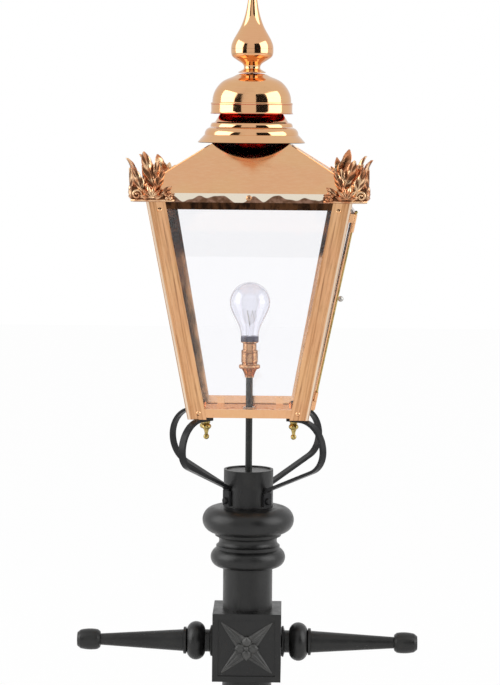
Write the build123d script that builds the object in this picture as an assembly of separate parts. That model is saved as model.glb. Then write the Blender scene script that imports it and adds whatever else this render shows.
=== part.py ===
from build123d import *

import os
from math import atan2, cos, degrees, radians, sin, sqrt, tan

# Post top lantern: a tapered copper lantern on a four-legged iron bracket, on the
# head casting of an iron post. The origin is the centre of the socket's mouth at
# the bottom of the head casting, +Z is up, and the lamp is seen from -Y.
# All sizes are in millimetres. Heights are worked out from the socket upwards.

# Clearances
SEAT_GAP = 0.3            # between fixed pieces that are fitted together
RUNNING_GAP = 0.06        # radial, between a hinge pin and a knuckle that turns on it
SCREW_GAP = 0.2           # radial, round the shank of a bolt, stud or pipe

# Post head: ladder block with the socket for the post
SOCKET_R = 30.5
SOCKET_DEPTH = 90.0
SHAFT_R = 40.0
SKIRT_BELOW_BLOCK = 60.0
BLOCK_SIZE = 110.0
BLOCK_BORDER = 9.0
BLOCK_PANEL_DEPTH = 2.5
CABLE_WAY_R = 16.0
TENON_R = 34.0
TENON_LENGTH = 30.0
GRUB_SCREW_R = 4.0
GRUB_SCREW_COUNT = 3

# Ladder arms: lengths along the arm, measured from the face of the block
ARM_TENON_R = 10.0
ARM_TENON_LENGTH = 28.0
ARM_BOSS_R = 25.0
ARM_BOSS_LENGTH = 5.0
ARM_NECK_R = 18.0
ARM_NECK_LENGTH = 8.0
ARM_BALL_R = 31.0
ARM_BALL_LENGTH = 30.0
ARM_RING_R = 21.8
ARM_RING_LENGTH = 6.0
ARM_ROOT_R = 17.6
ARM_TIP_R = 9.2
ARM_TAPER_LENGTH = 134.0
ARM_KNOB_R = 17.0
ARM_KNOB_LENGTH = 38.0

# Post head: column and its two rings, heights above the top of the block
COLUMN_LENGTH = 68.0
LOWER_RING_R = 60.4
LOWER_RING_HEIGHT = 30.0
COVE_R = 46.7
COVE_LIP_R = 51.5
COVE_HEIGHT = 21.0
COVE_FILLET_R = 53.5
COVE_FILLET_HEIGHT = 4.6
UPPER_RING_R = 74.0
UPPER_RING_SHOULDER_R = 50.0
UPPER_RING_HEIGHT = 43.0
SPIGOT_R = 35.6
SPIGOT_LENGTH = 58.0
SPIGOT_ROOF = 7.0

# Frog bracket: collar and four bent flat-bar legs
COLLAR_WALL = 4.0
COLLAR_HEIGHT = 60.0
LEG_WIDTH = 11.0
LEG_TAIL_WIDTH = 16.0         # the tails are forged wider for their bolts
LEG_THICKNESS = 5.0
LEG_BEND_BELOW_TOP = 36.0     # where a leg leaves the collar, below the collar's top
LEG_TAIL_LENGTH = 20.0        # upright tail below that bend, on a leg with no drop
LEG_REACH = 161.5             # centre of the bar at its widest, from the lamp's axis
LEG_SLOPE = 22.5              # degrees, of the straight run
LEG_FOOT_BEND_R = 8.0
LEG_LOWER_BEND_R = 36.0
LEG_UPPER_BEND_R = 46.0
LEG_STUD_INSET = 26.0         # stud's distance from both sides of an unskewed corner
LEG_PAD_PAST_STUD = 11.0
LEG_BOLT_R = 3.0
LEG_BOLT_HEAD_R = 5.4
LEG_BOLT_HEAD = 4.0
LEG_BOLT_ABOVE_TAIL = 8.0
LEG_BOLT_START = 25.0         # inner end of a bolt, from the axis
LEG_WASHER = 3.0
LEG_WASHER_R = 6.5
STUD_R = 3.0
NUT_R = 5.4
NUT_HEIGHT = 5.0
# The legs are bent by hand: each has a bearing on the collar, a small skew, and a
# distance by which it leaves the collar lower than the first.
LEGS = {
    "front_right": (-45.0, 3.0, 0.0),
    "rear_right": (45.0, 0.0, 0.0),
    "rear_left": (138.0, 6.0, 7.0),
    "front_left": (217.0, 18.0, -4.0),
}

# Lantern body: a square frustum, widest at the eave
BODY_HEIGHT = 357.0           # from the underside of the tray to the foot of the roof
BASE_HALF = 96.0              # half width over the corner beads, at the foot of the body
TOP_HALF = 162.0              # the same at the foot of the roof
SHEET = 1.5
POST_FLANGE = 30.0
POST_BEAD = 8.0
POST_BEAD_CHAMFER = 2.0
POST_RECESS = 1.2             # flange face behind the bead's face
POST_BELOW_BASE = 3.0
TRAY_RIM = 12.0
TRAY_FLOOR = 2.0
AIR_HOLES = 12
AIR_HOLE_R = 3.5
AIR_RING = 0.4                # radius of their circle, as a share of the half width
TOP_BAND = 26.0
GLASS = 3.0
GLASS_TUCK = 4.0              # glass hidden behind the top band
CLIP_WIDTH = 12.0
CLIP_SHEET = 1.0
CLIP_SPREAD = 0.5             # clips sit this share of the half width from the middle
RIVET_R = 3.6
RIVET_HEIGHT = 1.8

# Eave and roof
EAVE_OVERHANG = 16.0
FASCIA_HEIGHT = 14.0
ROOF_SHEET = 1.2
ROOF_TOP_HALF = 50.0
ROOF_RISE = 82.0
EAVE_SCREW_R = 2.0
EAVE_SCREW_HEAD_R = 4.6
EAVE_SCREW_HEAD = 3.0
CREST_LENGTH = 69.0
CREST_SHEET = 3.0
CREST_BAND = 18.0
CREST_HEIGHT = 78.0

# Ventilator: stepped skirt, cone with neck, bell dome
SKIRT_R = 86.4
SKIRT_HEIGHT = 23.3
CONE_HEIGHT = 22.5
CONE_FOOT_R = 66.0
NECK_R = 48.5
NECK_HEIGHT = 20.0
CONE_STEP = 5.4               # how far the cone stands in from its ring
DOME_LIP_R = 66.0
DOME_SIDE_R = 64.4
DOME_BAND = 15.5
DOME_CROWN_R = 62.6
DOME_HEIGHT = 63.9
DOME_ABOVE_CONE = -1.0
VENT_SHEET = 1.2
STRAP_WIDTH = 16.0
STRAP_SHEET = 2.0
STRAP_LUG = 10.0
SPACER_R = 6.0

# Finial, heights above the crown of the dome
FINIAL_FOOT_R = 22.0
FINIAL_NECK_R = 13.0
FINIAL_NECK_HEIGHT = 8.4
FINIAL_CUP_R = 33.9
FINIAL_SEAM_HEIGHT = 38.0
FINIAL_TIP_R = 7.2
FINIAL_HEIGHT = 124.0
FINIAL_SHEET = 1.2
FINIAL_WASHER_R = 19.2        # radius of the cup where its clamping washer bears
FINIAL_WASHER_HEIGHT = 9.4    # above the neck

# Door on the +X side
DOOR_GAP = 0.5                # between the posts' beads and the door, at its foot
DOOR_LEAN = 0.8               # degrees, by which the door stands off at its head
DOOR_DEPTH = 4.0
DOOR_MEMBER = 22.0
DOOR_EDGE_INSET = 9.0         # hinge side, from the bead's outer edge
DOOR_FREE_INSET = 4.0         # knob side
DOOR_FOOT_ABOVE_BASE = 14.0
DOOR_BELOW_EAVE = 28.0
DOOR_REBATE = 6.0
DOOR_LIP = 1.2                # frame left in front of the glass
DOOR_GLASS = 1.8
HINGE_PIN_R = 1.2
HINGE_BARREL_R = 2.6
HINGE_SINK = 0.8              # pin's axis behind the door's face
HINGE_STRAP = 1.2
HINGE_KNUCKLE = 14.0
HINGE_KNUCKLE_GAP = 0.5
HINGE_INSET = 4.5             # pin's axis from the bead's outer edge
HINGE_PIN_HEAD_R = 2.6
KNOB_BALL_R = 4.8
KNOB_STEM_R = 2.0
KNOB_REACH = 12.5             # ball's centre beyond the door's face
KNOB_RISE = 0.52              # its height, as a share of the door's
DOOR_CLIP = 0.6
CATCH_LENGTH = 34.0
CATCH_WIDTH = 8.0
CATCH_SHEET = 0.6

# Lamp: pipe, lampholder and bayonet bulb, heights from the pipe's top
PIPE_R = 5.5
PIPE_BORE_R = 3.5
PIPE_TOP_ABOVE_BASE = 65.0
PIPE_FOOT_BELOW_COLLAR = 34.0
PIPE_NUT_WALL = 4.3           # from the pipe to a lock nut's corner
HOLDER_RING_WIDTH = 4.4
HOLDER_SHOULDER = 0.8         # barrel's outside beyond the body's
HOLDER_RING_HEIGHT = 6.5
HOLDER_BODY_HEIGHT = 23.0
HOLDER_GRIP = 10.0            # length of pipe inside the holder's body
BARREL_PLAY = 0.5             # radial, round the bulb's cap
BARREL_WALL = 1.9
BARREL_HEIGHT = 21.0
PLUNGER_R = 2.0
CAP_R = 11.0
CAP_HEIGHT = 26.0
CAP_INSERTION = 12.0
CAP_COLLAR_LIP = 3.2          # beyond the cap
BAYONET_PIN_R = 1.2
BAYONET_PIN_ABOVE_FOOT = 7.0
BAYONET_TURN = 18.0           # degrees, from locked to free
CONTACT_R = 2.4
CONTACT_SPREAD = 4.5          # from the axis
CONTACT_PROUD = 0.6
BULB_R = 32.7
BULB_NECK_R = 14.5
BULB_LENGTH = 96.0
BULB_WALL = 1.0
STEM_FOOT_R = 7.0
STEM_R = 2.6
STEM_HEIGHT = 27.0
FILAMENT_RISE = 22.0
FILAMENT_SPAN = 24.0
FILAMENT_WIRE_R = 0.45

# Drop finials under the tray, heights down from their top
DROP_LENGTH = 29.0
DROP_TOP_R = 6.2
DROP_RING_R = 7.8
DROP_NECK_R = 2.7
DROP_BALL_R = 4.6

# Heights that follow
BLOCK_Z = SKIRT_BELOW_BLOCK
BLOCK_TOP = BLOCK_Z + BLOCK_SIZE
ARM_Z = BLOCK_Z + BLOCK_SIZE / 2
LOWER_RING_Z = BLOCK_TOP + COLUMN_LENGTH
COVE_Z = LOWER_RING_Z + LOWER_RING_HEIGHT
UPPER_RING_Z = COVE_Z + COVE_HEIGHT + COVE_FILLET_HEIGHT
COLLAR_Z = UPPER_RING_Z + UPPER_RING_HEIGHT + SEAT_GAP
COLLAR_TOP = COLLAR_Z + COLLAR_HEIGHT
COLLAR_R = SPIGOT_R + SEAT_GAP + COLLAR_WALL
TAIL_R = COLLAR_R + SEAT_GAP / 2 + LEG_THICKNESS / 2
TAIL_TOP = COLLAR_TOP - LEG_BEND_BELOW_TOP
LEG_BULGE = LEG_REACH - TAIL_R
LEG_KNEE = LEG_BULGE - LEG_LOWER_BEND_R * (1 - sin(radians(LEG_SLOPE)))
LEG_RUN = (LEG_KNEE - LEG_FOOT_BEND_R * (1 - sin(radians(LEG_SLOPE)))) / cos(radians(LEG_SLOPE))
LEG_BENDS_RISE = (LEG_FOOT_BEND_R + LEG_LOWER_BEND_R) * cos(radians(LEG_SLOPE))
LEG_RISE = LEG_RUN * sin(radians(LEG_SLOPE)) + LEG_BENDS_RISE
LEG_STUD_REACH = (BASE_HALF - LEG_STUD_INSET) * sqrt(2) - TAIL_R
PAD_Z = TAIL_TOP + LEG_RISE + LEG_UPPER_BEND_R
DROP_Z = PAD_Z - LEG_THICKNESS / 2
BASE_Z = PAD_Z + LEG_THICKNESS / 2 + LEG_WASHER
EAVE_Z = BASE_Z + BODY_HEIGHT
EAVE_HALF = TOP_HALF + EAVE_OVERHANG
TRAY_TOP = BASE_Z + TRAY_FLOOR + TRAY_RIM
FASCIA_Z = EAVE_Z - FASCIA_HEIGHT
FASCIA_IN = EAVE_HALF - ROOF_SHEET
LIP_HALF = FASCIA_IN - SEAT_GAP
ROOF_SLOPE = ROOF_RISE / (EAVE_HALF - ROOF_TOP_HALF)
SKIRT_Z = EAVE_Z + (EAVE_HALF - SKIRT_R / sqrt(2)) * ROOF_SLOPE + VENT_SHEET / 2 + SEAT_GAP
CONE_Z = SKIRT_Z + SKIRT_HEIGHT + VENT_SHEET + SEAT_GAP / 2
NECK_Z = CONE_Z + CONE_HEIGHT
DOME_Z = NECK_Z + DOME_ABOVE_CONE
DOME_TOP = DOME_Z + DOME_HEIGHT
FINIAL_Z = DOME_TOP + VENT_SHEET + SEAT_GAP / 2
PIPE_TOP = BASE_Z + PIPE_TOP_ABOVE_BASE
HOLDER_Z = PIPE_TOP - HOLDER_GRIP
BARREL_Z = HOLDER_Z + HOLDER_BODY_HEIGHT
CAP_Z = BARREL_Z + BARREL_HEIGHT - CAP_INSERTION
CAP_TOP = CAP_Z + CAP_HEIGHT
BAYONET_Z = CAP_Z + BAYONET_PIN_ABOVE_FOOT
BARREL_R = CAP_R + BARREL_PLAY + BARREL_WALL
CAP_COLLAR_R = CAP_R + CAP_COLLAR_LIP
HOLDER_BODY_R = BARREL_R - HOLDER_SHOULDER
HOLDER_RING_R = HOLDER_BODY_R + HOLDER_RING_WIDTH
PIPE_NUT_R = PIPE_R + PIPE_NUT_WALL

# The lantern's taper
TAPER = (TOP_HALF - BASE_HALF) / (EAVE_Z - BASE_Z)
TILT = atan2(TOP_HALF - BASE_HALF, EAVE_Z - BASE_Z)

# Depths behind the beads' faces, measured level
FLANGE_BACK = POST_RECESS + SHEET
RAIL_FACE = FLANGE_BACK + SEAT_GAP
RAIL_BACK = RAIL_FACE + SHEET
GLASS_FACE = RAIL_BACK + SEAT_GAP
GLASS_BACK = GLASS_FACE + GLASS / cos(TILT)
CLIP_FACE = GLASS_BACK + SEAT_GAP
CLIP_BACK = CLIP_FACE + CLIP_SHEET


def half_width(z):
    """Half width over the corner beads at height z."""
    return BASE_HALF + (z - BASE_Z) * TAPER


def roof_height(half):
    """Height of the roof's outside where its half width is half."""
    return EAVE_Z + (EAVE_HALF - half) * ROOF_SLOPE


def turned(*edges):
    """Solid of revolution about Z from the closed outline of (radius, height) edges."""
    return revolve(Plane.XZ * make_face(Wire(edges)), Axis.Z)


def turned_polygon(*points):
    """Solid of revolution about Z from a closed polygon of (radius, height) points."""
    return revolve(Plane.XZ * make_face(Polyline(*points, close=True)), Axis.Z)


def spun(sheet, *edges):
    """Spun sheet metal: a strip along the edges, centred on them, turned about Z."""
    return revolve(Plane.XZ * trace(Wire(edges), sheet), Axis.Z)


def rod(radius, z_low, z_high, x=0.0, y=0.0):
    """Upright round bar."""
    bar = Cylinder(radius, z_high - z_low, align=(Align.CENTER, Align.CENTER, Align.MIN))
    return Pos(x, y, z_low) * bar


def tube(outer, inner, z_low, z_high):
    """Upright tube."""
    return rod(outer, z_low, z_high) - rod(inner, z_low - 1, z_high + 1)


def hex_nut(radius, bore, z_low, z_high, x=0.0, y=0.0):
    """Hexagonal nut with its hole upright."""
    hexagon = extrude(RegularPolygon(radius, 6), z_high - z_low)
    return Pos(x, y, z_low) * hexagon - rod(bore, z_low - 1, z_high + 1, x, y)


def frustum(half_low, z_low, half_high, z_high):
    """Solid square frustum about Z."""
    low = Plane.XY.offset(z_low) * Rectangle(2 * half_low, 2 * half_low)
    high = Plane.XY.offset(z_high) * Rectangle(2 * half_high, 2 * half_high)
    return loft([low.face(), high.face()], ruled=True)


def body_frustum(depth, z_low, z_high):
    """Frustum that follows the lantern's taper at a level depth behind the beads."""
    return frustum(half_width(z_low) - depth, z_low, half_width(z_high) - depth, z_high)


def body_shell(depth_out, depth_in, z_low, z_high):
    """Four-sided wall that follows the taper between two depths."""
    return body_frustum(depth_out, z_low, z_high) - body_frustum(depth_in, z_low - 1, z_high + 1)


def side_plane(bearing, depth, z):
    """Plane of one side, level depth behind the beads: x across, y up the slope, z outwards."""
    turn = Rotation(0, 0, bearing)
    origin = turn * Pos(half_width(z) - depth, 0, z)
    across = (turn * Pos(0, 1, 0)).position
    outwards = (turn * Pos(cos(TILT), 0, -sin(TILT))).position
    return Plane(origin=origin.position, x_dir=across, z_dir=outwards)


def side_length(z_low, z_high):
    """Distance up the slope between two heights."""
    return (z_high - z_low) / cos(TILT)


def round_all(names, piece):
    """The same piece turned to each bearing of names, as a dictionary."""
    return {name: Rotation(0, 0, bearing) * piece for name, bearing in names.items()}


# Post head

def post_capital():
    """Column with two rings, a tenon below and the spigot for the collar above."""
    bottom = BLOCK_TOP - TENON_LENGTH
    ring_mid = LOWER_RING_Z + LOWER_RING_HEIGHT * 0.55
    cove_top = COVE_Z + COVE_HEIGHT
    upper_mid = UPPER_RING_Z + UPPER_RING_HEIGHT * 0.47
    upper_top = UPPER_RING_Z + UPPER_RING_HEIGHT
    spigot_top = COLLAR_Z + SPIGOT_LENGTH
    lip_edge = COVE_Z + 5.0
    outside = [
        Polyline((CABLE_WAY_R, bottom), (TENON_R, bottom), (TENON_R, BLOCK_TOP),
                 (SHAFT_R, BLOCK_TOP), (SHAFT_R, LOWER_RING_Z), (SHAFT_R + 5, LOWER_RING_Z)),
        ThreePointArc((SHAFT_R + 5, LOWER_RING_Z), (LOWER_RING_R, ring_mid), (COVE_LIP_R, COVE_Z)),
        Line((COVE_LIP_R, COVE_Z), (COVE_LIP_R, lip_edge)),
        ThreePointArc((COVE_LIP_R, lip_edge), (COVE_R, (lip_edge + cove_top) / 2),
                      (COVE_LIP_R, cove_top)),
        Polyline((COVE_LIP_R, cove_top), (COVE_FILLET_R, cove_top), (COVE_FILLET_R, UPPER_RING_Z)),
        ThreePointArc((COVE_FILLET_R, UPPER_RING_Z), (UPPER_RING_R, upper_mid),
                      (UPPER_RING_SHOULDER_R, upper_top - 1)),
        Polyline((UPPER_RING_SHOULDER_R, upper_top - 1), (COLLAR_R, upper_top),
                 (SPIGOT_R, upper_top), (SPIGOT_R, spigot_top),
                 (PIPE_R + SCREW_GAP, spigot_top), (PIPE_R + SCREW_GAP, spigot_top - SPIGOT_ROOF),
                 (CABLE_WAY_R, spigot_top - SPIGOT_ROOF), (CABLE_WAY_R, bottom)),
    ]
    casting = turned(*[edge for line in outside for edge in line.edges()])
    return casting - leg_bolt_holes()


def block_panels():
    """Shallow recesses in the four faces of the block, inside a raised border."""
    side = BLOCK_SIZE - 2 * BLOCK_BORDER
    recess = Pos(BLOCK_SIZE / 2 - BLOCK_PANEL_DEPTH / 2, 0, ARM_Z) * Box(BLOCK_PANEL_DEPTH, side, side)
    return [Rotation(0, 0, bearing) * recess for bearing in (0, 90, 180, 270)]


def arm_seats():
    """Round lands in the side panels that the arms' bosses stand on."""
    land = Rotation(0, 90, 0) * Cylinder(ARM_BOSS_R + 2, BLOCK_SIZE)
    return Pos(0, 0, ARM_Z) * land


def grub_screw_places():
    """Bearings of the screws that grip the post."""
    return [30 + 360 / GRUB_SCREW_COUNT * k for k in range(GRUB_SCREW_COUNT)]


def cross_bar(radius, r_low, r_high, bearing, z):
    """Round bar pointing away from the axis at a bearing."""
    bar = Cylinder(radius, r_high - r_low, align=(Align.CENTER, Align.CENTER, Align.MIN))
    return Rotation(0, 0, bearing) * Pos(r_low, 0, z) * Rotation(0, 90, 0) * bar


def ladder_block():
    """Cast block with the post's socket below and the column's tenon hole above."""
    body = rod(SHAFT_R, 0, BLOCK_Z + 1) + Pos(0, 0, ARM_Z) * Box(BLOCK_SIZE, BLOCK_SIZE, BLOCK_SIZE)
    for recess in block_panels():
        body -= recess
    body += arm_seats()
    body -= rod(SOCKET_R, -1, SOCKET_DEPTH)
    body -= rod(CABLE_WAY_R, SOCKET_DEPTH - 1, BLOCK_TOP)
    body -= rod(TENON_R + SEAT_GAP, BLOCK_TOP - TENON_LENGTH - SEAT_GAP, BLOCK_TOP + 1)
    tenon_hole = ARM_TENON_R + SEAT_GAP
    hole_start = BLOCK_SIZE / 2 - ARM_TENON_LENGTH - 1
    for bearing in (0, 180):
        body -= cross_bar(tenon_hole, hole_start, BLOCK_SIZE / 2 + 1, bearing, ARM_Z)
    for bearing in grub_screw_places():
        body -= cross_bar(GRUB_SCREW_R + SCREW_GAP, 0, SHAFT_R + 1, bearing, SKIRT_BELOW_BLOCK / 2)
    return body


def post_grub_screws():
    """Cup-point screws that grip the post, heads just proud of the skirt."""
    return [cross_bar(GRUB_SCREW_R, SOCKET_R + 0.5, SHAFT_R + 1.5, bearing, SKIRT_BELOW_BLOCK / 2)
            for bearing in grub_screw_places()]


def ladder_arm():
    """Arm along +Z from the face of the block: tenon, boss, ball, ring, taper and knob."""
    neck = ARM_BOSS_LENGTH + ARM_NECK_LENGTH
    ball = neck + ARM_BALL_LENGTH
    ring = ball + ARM_RING_LENGTH
    tip = ring + ARM_TAPER_LENGTH
    end = tip + ARM_KNOB_LENGTH
    outline = [
        Polyline((0, -ARM_TENON_LENGTH), (ARM_TENON_R, -ARM_TENON_LENGTH), (ARM_TENON_R, SEAT_GAP),
                 (ARM_BOSS_R - 2, SEAT_GAP), (ARM_BOSS_R, 2), (ARM_BOSS_R, ARM_BOSS_LENGTH - 1),
                 (ARM_NECK_R, ARM_BOSS_LENGTH + 1), (ARM_NECK_R, neck)),
        ThreePointArc((ARM_NECK_R, neck), (ARM_BALL_R, (neck + ball) / 2), (ARM_NECK_R, ball)),
        Polyline((ARM_NECK_R, ball), (ARM_RING_R, ball + 1), (ARM_RING_R, ring - 1), (ARM_ROOT_R, ring),
                 (ARM_TIP_R, tip), (ARM_KNOB_R - 4, tip + 1), (ARM_KNOB_R - 1, tip + 5)),
        ThreePointArc((ARM_KNOB_R - 1, tip + 5), (ARM_KNOB_R, (tip + end) / 2), (ARM_KNOB_R - 2, end - 5)),
        Polyline((ARM_KNOB_R - 2, end - 5), (ARM_KNOB_R - 6, end), (0, end), (0, -ARM_TENON_LENGTH)),
    ]
    return turned(*[edge for line in outline for edge in line.edges()])


def ladder_arms():
    """The two arms, screwed into the sides of the block."""
    arm = ladder_arm()
    outwards = Pos(BLOCK_SIZE / 2, 0, ARM_Z) * Rotation(0, 90, 0) * arm
    return round_all({"ladder_arm_right": 0, "ladder_arm_left": 180}, outwards)


# Frog bracket

def leg_bolt_z():
    """Height of the bolts through the legs' tails."""
    return TAIL_TOP - LEG_TAIL_LENGTH + LEG_BOLT_ABOVE_TAIL


def leg_bolt_holes():
    """Threaded holes for the bolts that hold the legs and lock the collar."""
    reach = TAIL_R + LEG_THICKNESS
    holes = [cross_bar(LEG_BOLT_R + SCREW_GAP, LEG_BOLT_START - 1, reach, bearing, leg_bolt_z())
             for bearing, skew, drop in LEGS.values()]
    return Compound(holes)


def frog_collar():
    """Tube that drops over the spigot."""
    return tube(COLLAR_R, COLLAR_R - COLLAR_WALL, COLLAR_Z, COLLAR_TOP) - leg_bolt_holes()


def leg_profile(drop):
    """Face of one leg's bent bar, x outwards from the tail and y up, without the tail.

    A leg that starts lower gets a wider lower bend, so that its pad ends at the same height.
    """
    slope = radians(LEG_SLOPE)
    spread = 1 - sin(slope)
    lower_bend = LEG_LOWER_BEND_R + drop / (cos(slope) - spread * tan(slope))
    run = LEG_RUN - (lower_bend - LEG_LOWER_BEND_R) * spread / cos(slope)
    pad_run = LEG_BULGE - LEG_UPPER_BEND_R - LEG_STUD_REACH + LEG_PAD_PAST_STUD
    foot = JernArc((0, TAIL_TOP - drop), (0, 1), LEG_FOOT_BEND_R, LEG_SLOPE - 90)
    straight = Line(foot @ 1, (foot @ 1) + (foot % 1) * run)
    lower = JernArc(straight @ 1, straight % 1, lower_bend, 90 - LEG_SLOPE)
    upper = JernArc(lower @ 1, lower % 1, LEG_UPPER_BEND_R, 90)
    pad = Line(upper @ 1, (upper @ 1) + (upper % 1) * pad_run)
    path = Wire([line.edge() for line in (foot, straight, lower, upper, pad)])
    return trace(path, LEG_THICKNESS)


def frog_leg(bearing, skew, drop):
    """Flat bar: an upright tail on the collar, then a sweep out and back to its stud."""
    bar = extrude(Plane.XZ * leg_profile(drop), LEG_WIDTH / 2, both=True)
    tail_length = LEG_TAIL_LENGTH - drop
    tail = Pos(0, 0, TAIL_TOP - drop - tail_length / 2) * Box(LEG_THICKNESS, LEG_TAIL_WIDTH, tail_length + 1)
    at_collar = Rotation(0, 0, bearing) * Pos(TAIL_R, 0, 0)
    sweep_out = at_collar * Rotation(0, 0, skew) * bar
    leg = at_collar * tail + (sweep_out - rod(COLLAR_R + SEAT_GAP, COLLAR_Z, COLLAR_TOP + 1))
    x, y = stud_place(bearing, skew)
    leg -= rod(STUD_R + SCREW_GAP, PAD_Z - LEG_THICKNESS, PAD_Z + LEG_THICKNESS, x, y)
    return leg - leg_bolt_holes()


def stud_place(bearing, skew):
    """Plan position of the stud at the end of a leg."""
    heading = radians(bearing + skew)
    x = TAIL_R * cos(radians(bearing)) + LEG_STUD_REACH * cos(heading)
    y = TAIL_R * sin(radians(bearing)) + LEG_STUD_REACH * sin(heading)
    return x, y


def leg_bolts():
    """Round-headed bolts through the tails and the collar, into the spigot."""
    face = TAIL_R + LEG_THICKNESS / 2 + 0.1
    z = leg_bolt_z()
    bolts = []
    for bearing, skew, drop in LEGS.values():
        shank = cross_bar(LEG_BOLT_R, LEG_BOLT_START, face + 1, bearing, z)
        head = cross_bar(LEG_BOLT_HEAD_R, face, face + LEG_BOLT_HEAD, bearing, z)
        rim = head.edges().sort_by_distance((0, 0, z))[-1]
        bolts.append(shank + fillet(rim, LEG_BOLT_HEAD * 0.45))
    return bolts


def at_each_stud(piece):
    """Copies of a piece on the four leg studs."""
    return [Pos(*stud_place(bearing, skew), 0) * piece for bearing, skew, drop in LEGS.values()]


def leg_washers():
    """Thick washers between the legs' pads and the tray."""
    washer = tube(LEG_WASHER_R, STUD_R + SCREW_GAP, PAD_Z + LEG_THICKNESS / 2, BASE_Z)
    return at_each_stud(washer)


def leg_studs():
    """Studs through pad, washer and tray, into the drop finials."""
    top = BASE_Z + TRAY_FLOOR + NUT_HEIGHT + 2
    return at_each_stud(rod(STUD_R, DROP_Z - DROP_LENGTH * 0.4, top))


def leg_stud_nuts():
    """Nuts that pull the legs up to the tray, inside the lantern."""
    floor = BASE_Z + TRAY_FLOOR
    return at_each_stud(hex_nut(NUT_R, STUD_R + 0.1, floor, floor + NUT_HEIGHT))


def drop_finials():
    """Turned brass drops that close the studs below the legs."""
    ring = DROP_Z - DROP_LENGTH * 0.28
    neck = DROP_Z - DROP_LENGTH * 0.62
    ball = DROP_Z - DROP_LENGTH + DROP_BALL_R
    ball_top = ball + sqrt(DROP_BALL_R ** 2 - DROP_NECK_R ** 2)
    bore_top = DROP_Z - DROP_LENGTH * 0.4 - 0.5
    waist = DROP_TOP_R - 1.4
    ring_top = DROP_Z - 4
    ring_foot = 2 * ring - ring_top
    outline = [
        Polyline((0, bore_top), (STUD_R + 0.1, bore_top), (STUD_R + 0.1, DROP_Z), (DROP_TOP_R, DROP_Z),
                 (DROP_TOP_R, DROP_Z - 2.5), (waist, ring_top)),
        ThreePointArc((waist, ring_top), (DROP_RING_R, ring), (waist, ring_foot)),
        Spline((waist, ring_foot), (DROP_NECK_R + 0.5, neck + 1.5), (DROP_NECK_R, ball_top)),
        ThreePointArc((DROP_NECK_R, ball_top), (DROP_BALL_R, ball), (0, ball - DROP_BALL_R)),
        Line((0, ball - DROP_BALL_R), (0, bore_top)),
    ]
    return at_each_stud(turned(*[edge for line in outline for edge in line.edges()]))


# Lantern body

def base_tray():
    """Folded bottom tray with holes for the pipe, the studs and the air."""
    tray = body_frustum(RAIL_FACE, BASE_Z, TRAY_TOP)
    tray -= body_frustum(RAIL_BACK, BASE_Z + TRAY_FLOOR, TRAY_TOP + 1)
    tray -= rod(PIPE_R + SCREW_GAP, BASE_Z - 1, BASE_Z + TRAY_FLOOR + 1)
    for hole in at_each_stud(rod(STUD_R + SCREW_GAP, BASE_Z - 1, BASE_Z + TRAY_FLOOR + 1)):
        tray -= hole
    for k in range(AIR_HOLES):
        hole = rod(AIR_HOLE_R, BASE_Z - 1, BASE_Z + TRAY_FLOOR + 1, BASE_HALF * AIR_RING)
        tray -= Rotation(0, 0, 360 / AIR_HOLES * (k + 0.5)) * hole
    return tray


def post_section(z):
    """Level section of the post at +X +Y: two flanges and a raised corner bead."""
    edge = half_width(z)
    face = edge - POST_RECESS
    back = face - SHEET
    end = edge - POST_FLANGE
    bead = edge - POST_BEAD
    chamfer = edge - POST_BEAD_CHAMFER
    outline = Polyline((end, face), (bead, face), (bead, edge), (chamfer, edge), (edge, chamfer),
                       (edge, bead), (face, bead), (face, end), (back, end), (back, back),
                       (end, back), close=True)
    return Plane.XY.offset(z) * make_face(outline)


def corner_posts():
    """Four folded angle posts."""
    sections = [post_section(z).face() for z in (BASE_Z - POST_BELOW_BASE, EAVE_Z - SHEET - SEAT_GAP)]
    post = loft(sections, ruled=True)
    names = {"corner_post_rear_right": 0, "corner_post_rear_left": 90,
             "corner_post_front_left": 180, "corner_post_front_right": 270}
    return round_all(names, post)


def top_frame():
    """Band behind the posts' tops, with a flange and lip that carry the roof."""
    band = body_shell(RAIL_FACE, RAIL_BACK, EAVE_Z - TOP_BAND, EAVE_Z - 0.1)
    flange = frustum(LIP_HALF, EAVE_Z - SHEET, LIP_HALF, EAVE_Z - 0.1)
    flange -= body_frustum(RAIL_BACK, EAVE_Z - SHEET - 1, EAVE_Z + 1)
    lip = frustum(LIP_HALF, FASCIA_Z + 2, LIP_HALF, EAVE_Z - 0.1)
    lip -= frustum(LIP_HALF - SHEET, FASCIA_Z, LIP_HALF - SHEET, EAVE_Z)
    return band + flange + lip - eave_screw_holes()


def side_panel(bearing, depth, z_low, z_high, side_gap, thickness):
    """Flat panel of one side: side_gap is its distance inside the bead's outer edge."""
    plane = side_plane(bearing, depth, z_low)
    low = half_width(z_low) - side_gap
    high = half_width(z_high) - side_gap
    length = side_length(z_low, z_high)
    outline = Polyline((-low, 0), (low, 0), (high, length), (-high, length), close=True)
    return extrude(plane * make_face(outline), -thickness)


def fixed_glass():
    """Three panes that stand in the tray behind the posts."""
    z_low = BASE_Z + TRAY_FLOOR + 1
    z_high = EAVE_Z - TOP_BAND + GLASS_TUCK
    names = {"glass_rear": 90, "glass_left": 180, "glass_front": 270}
    return {name: side_panel(bearing, GLASS_FACE, z_low, z_high, GLASS_BACK + 0.5, GLASS)
            for name, bearing in names.items()}


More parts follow.
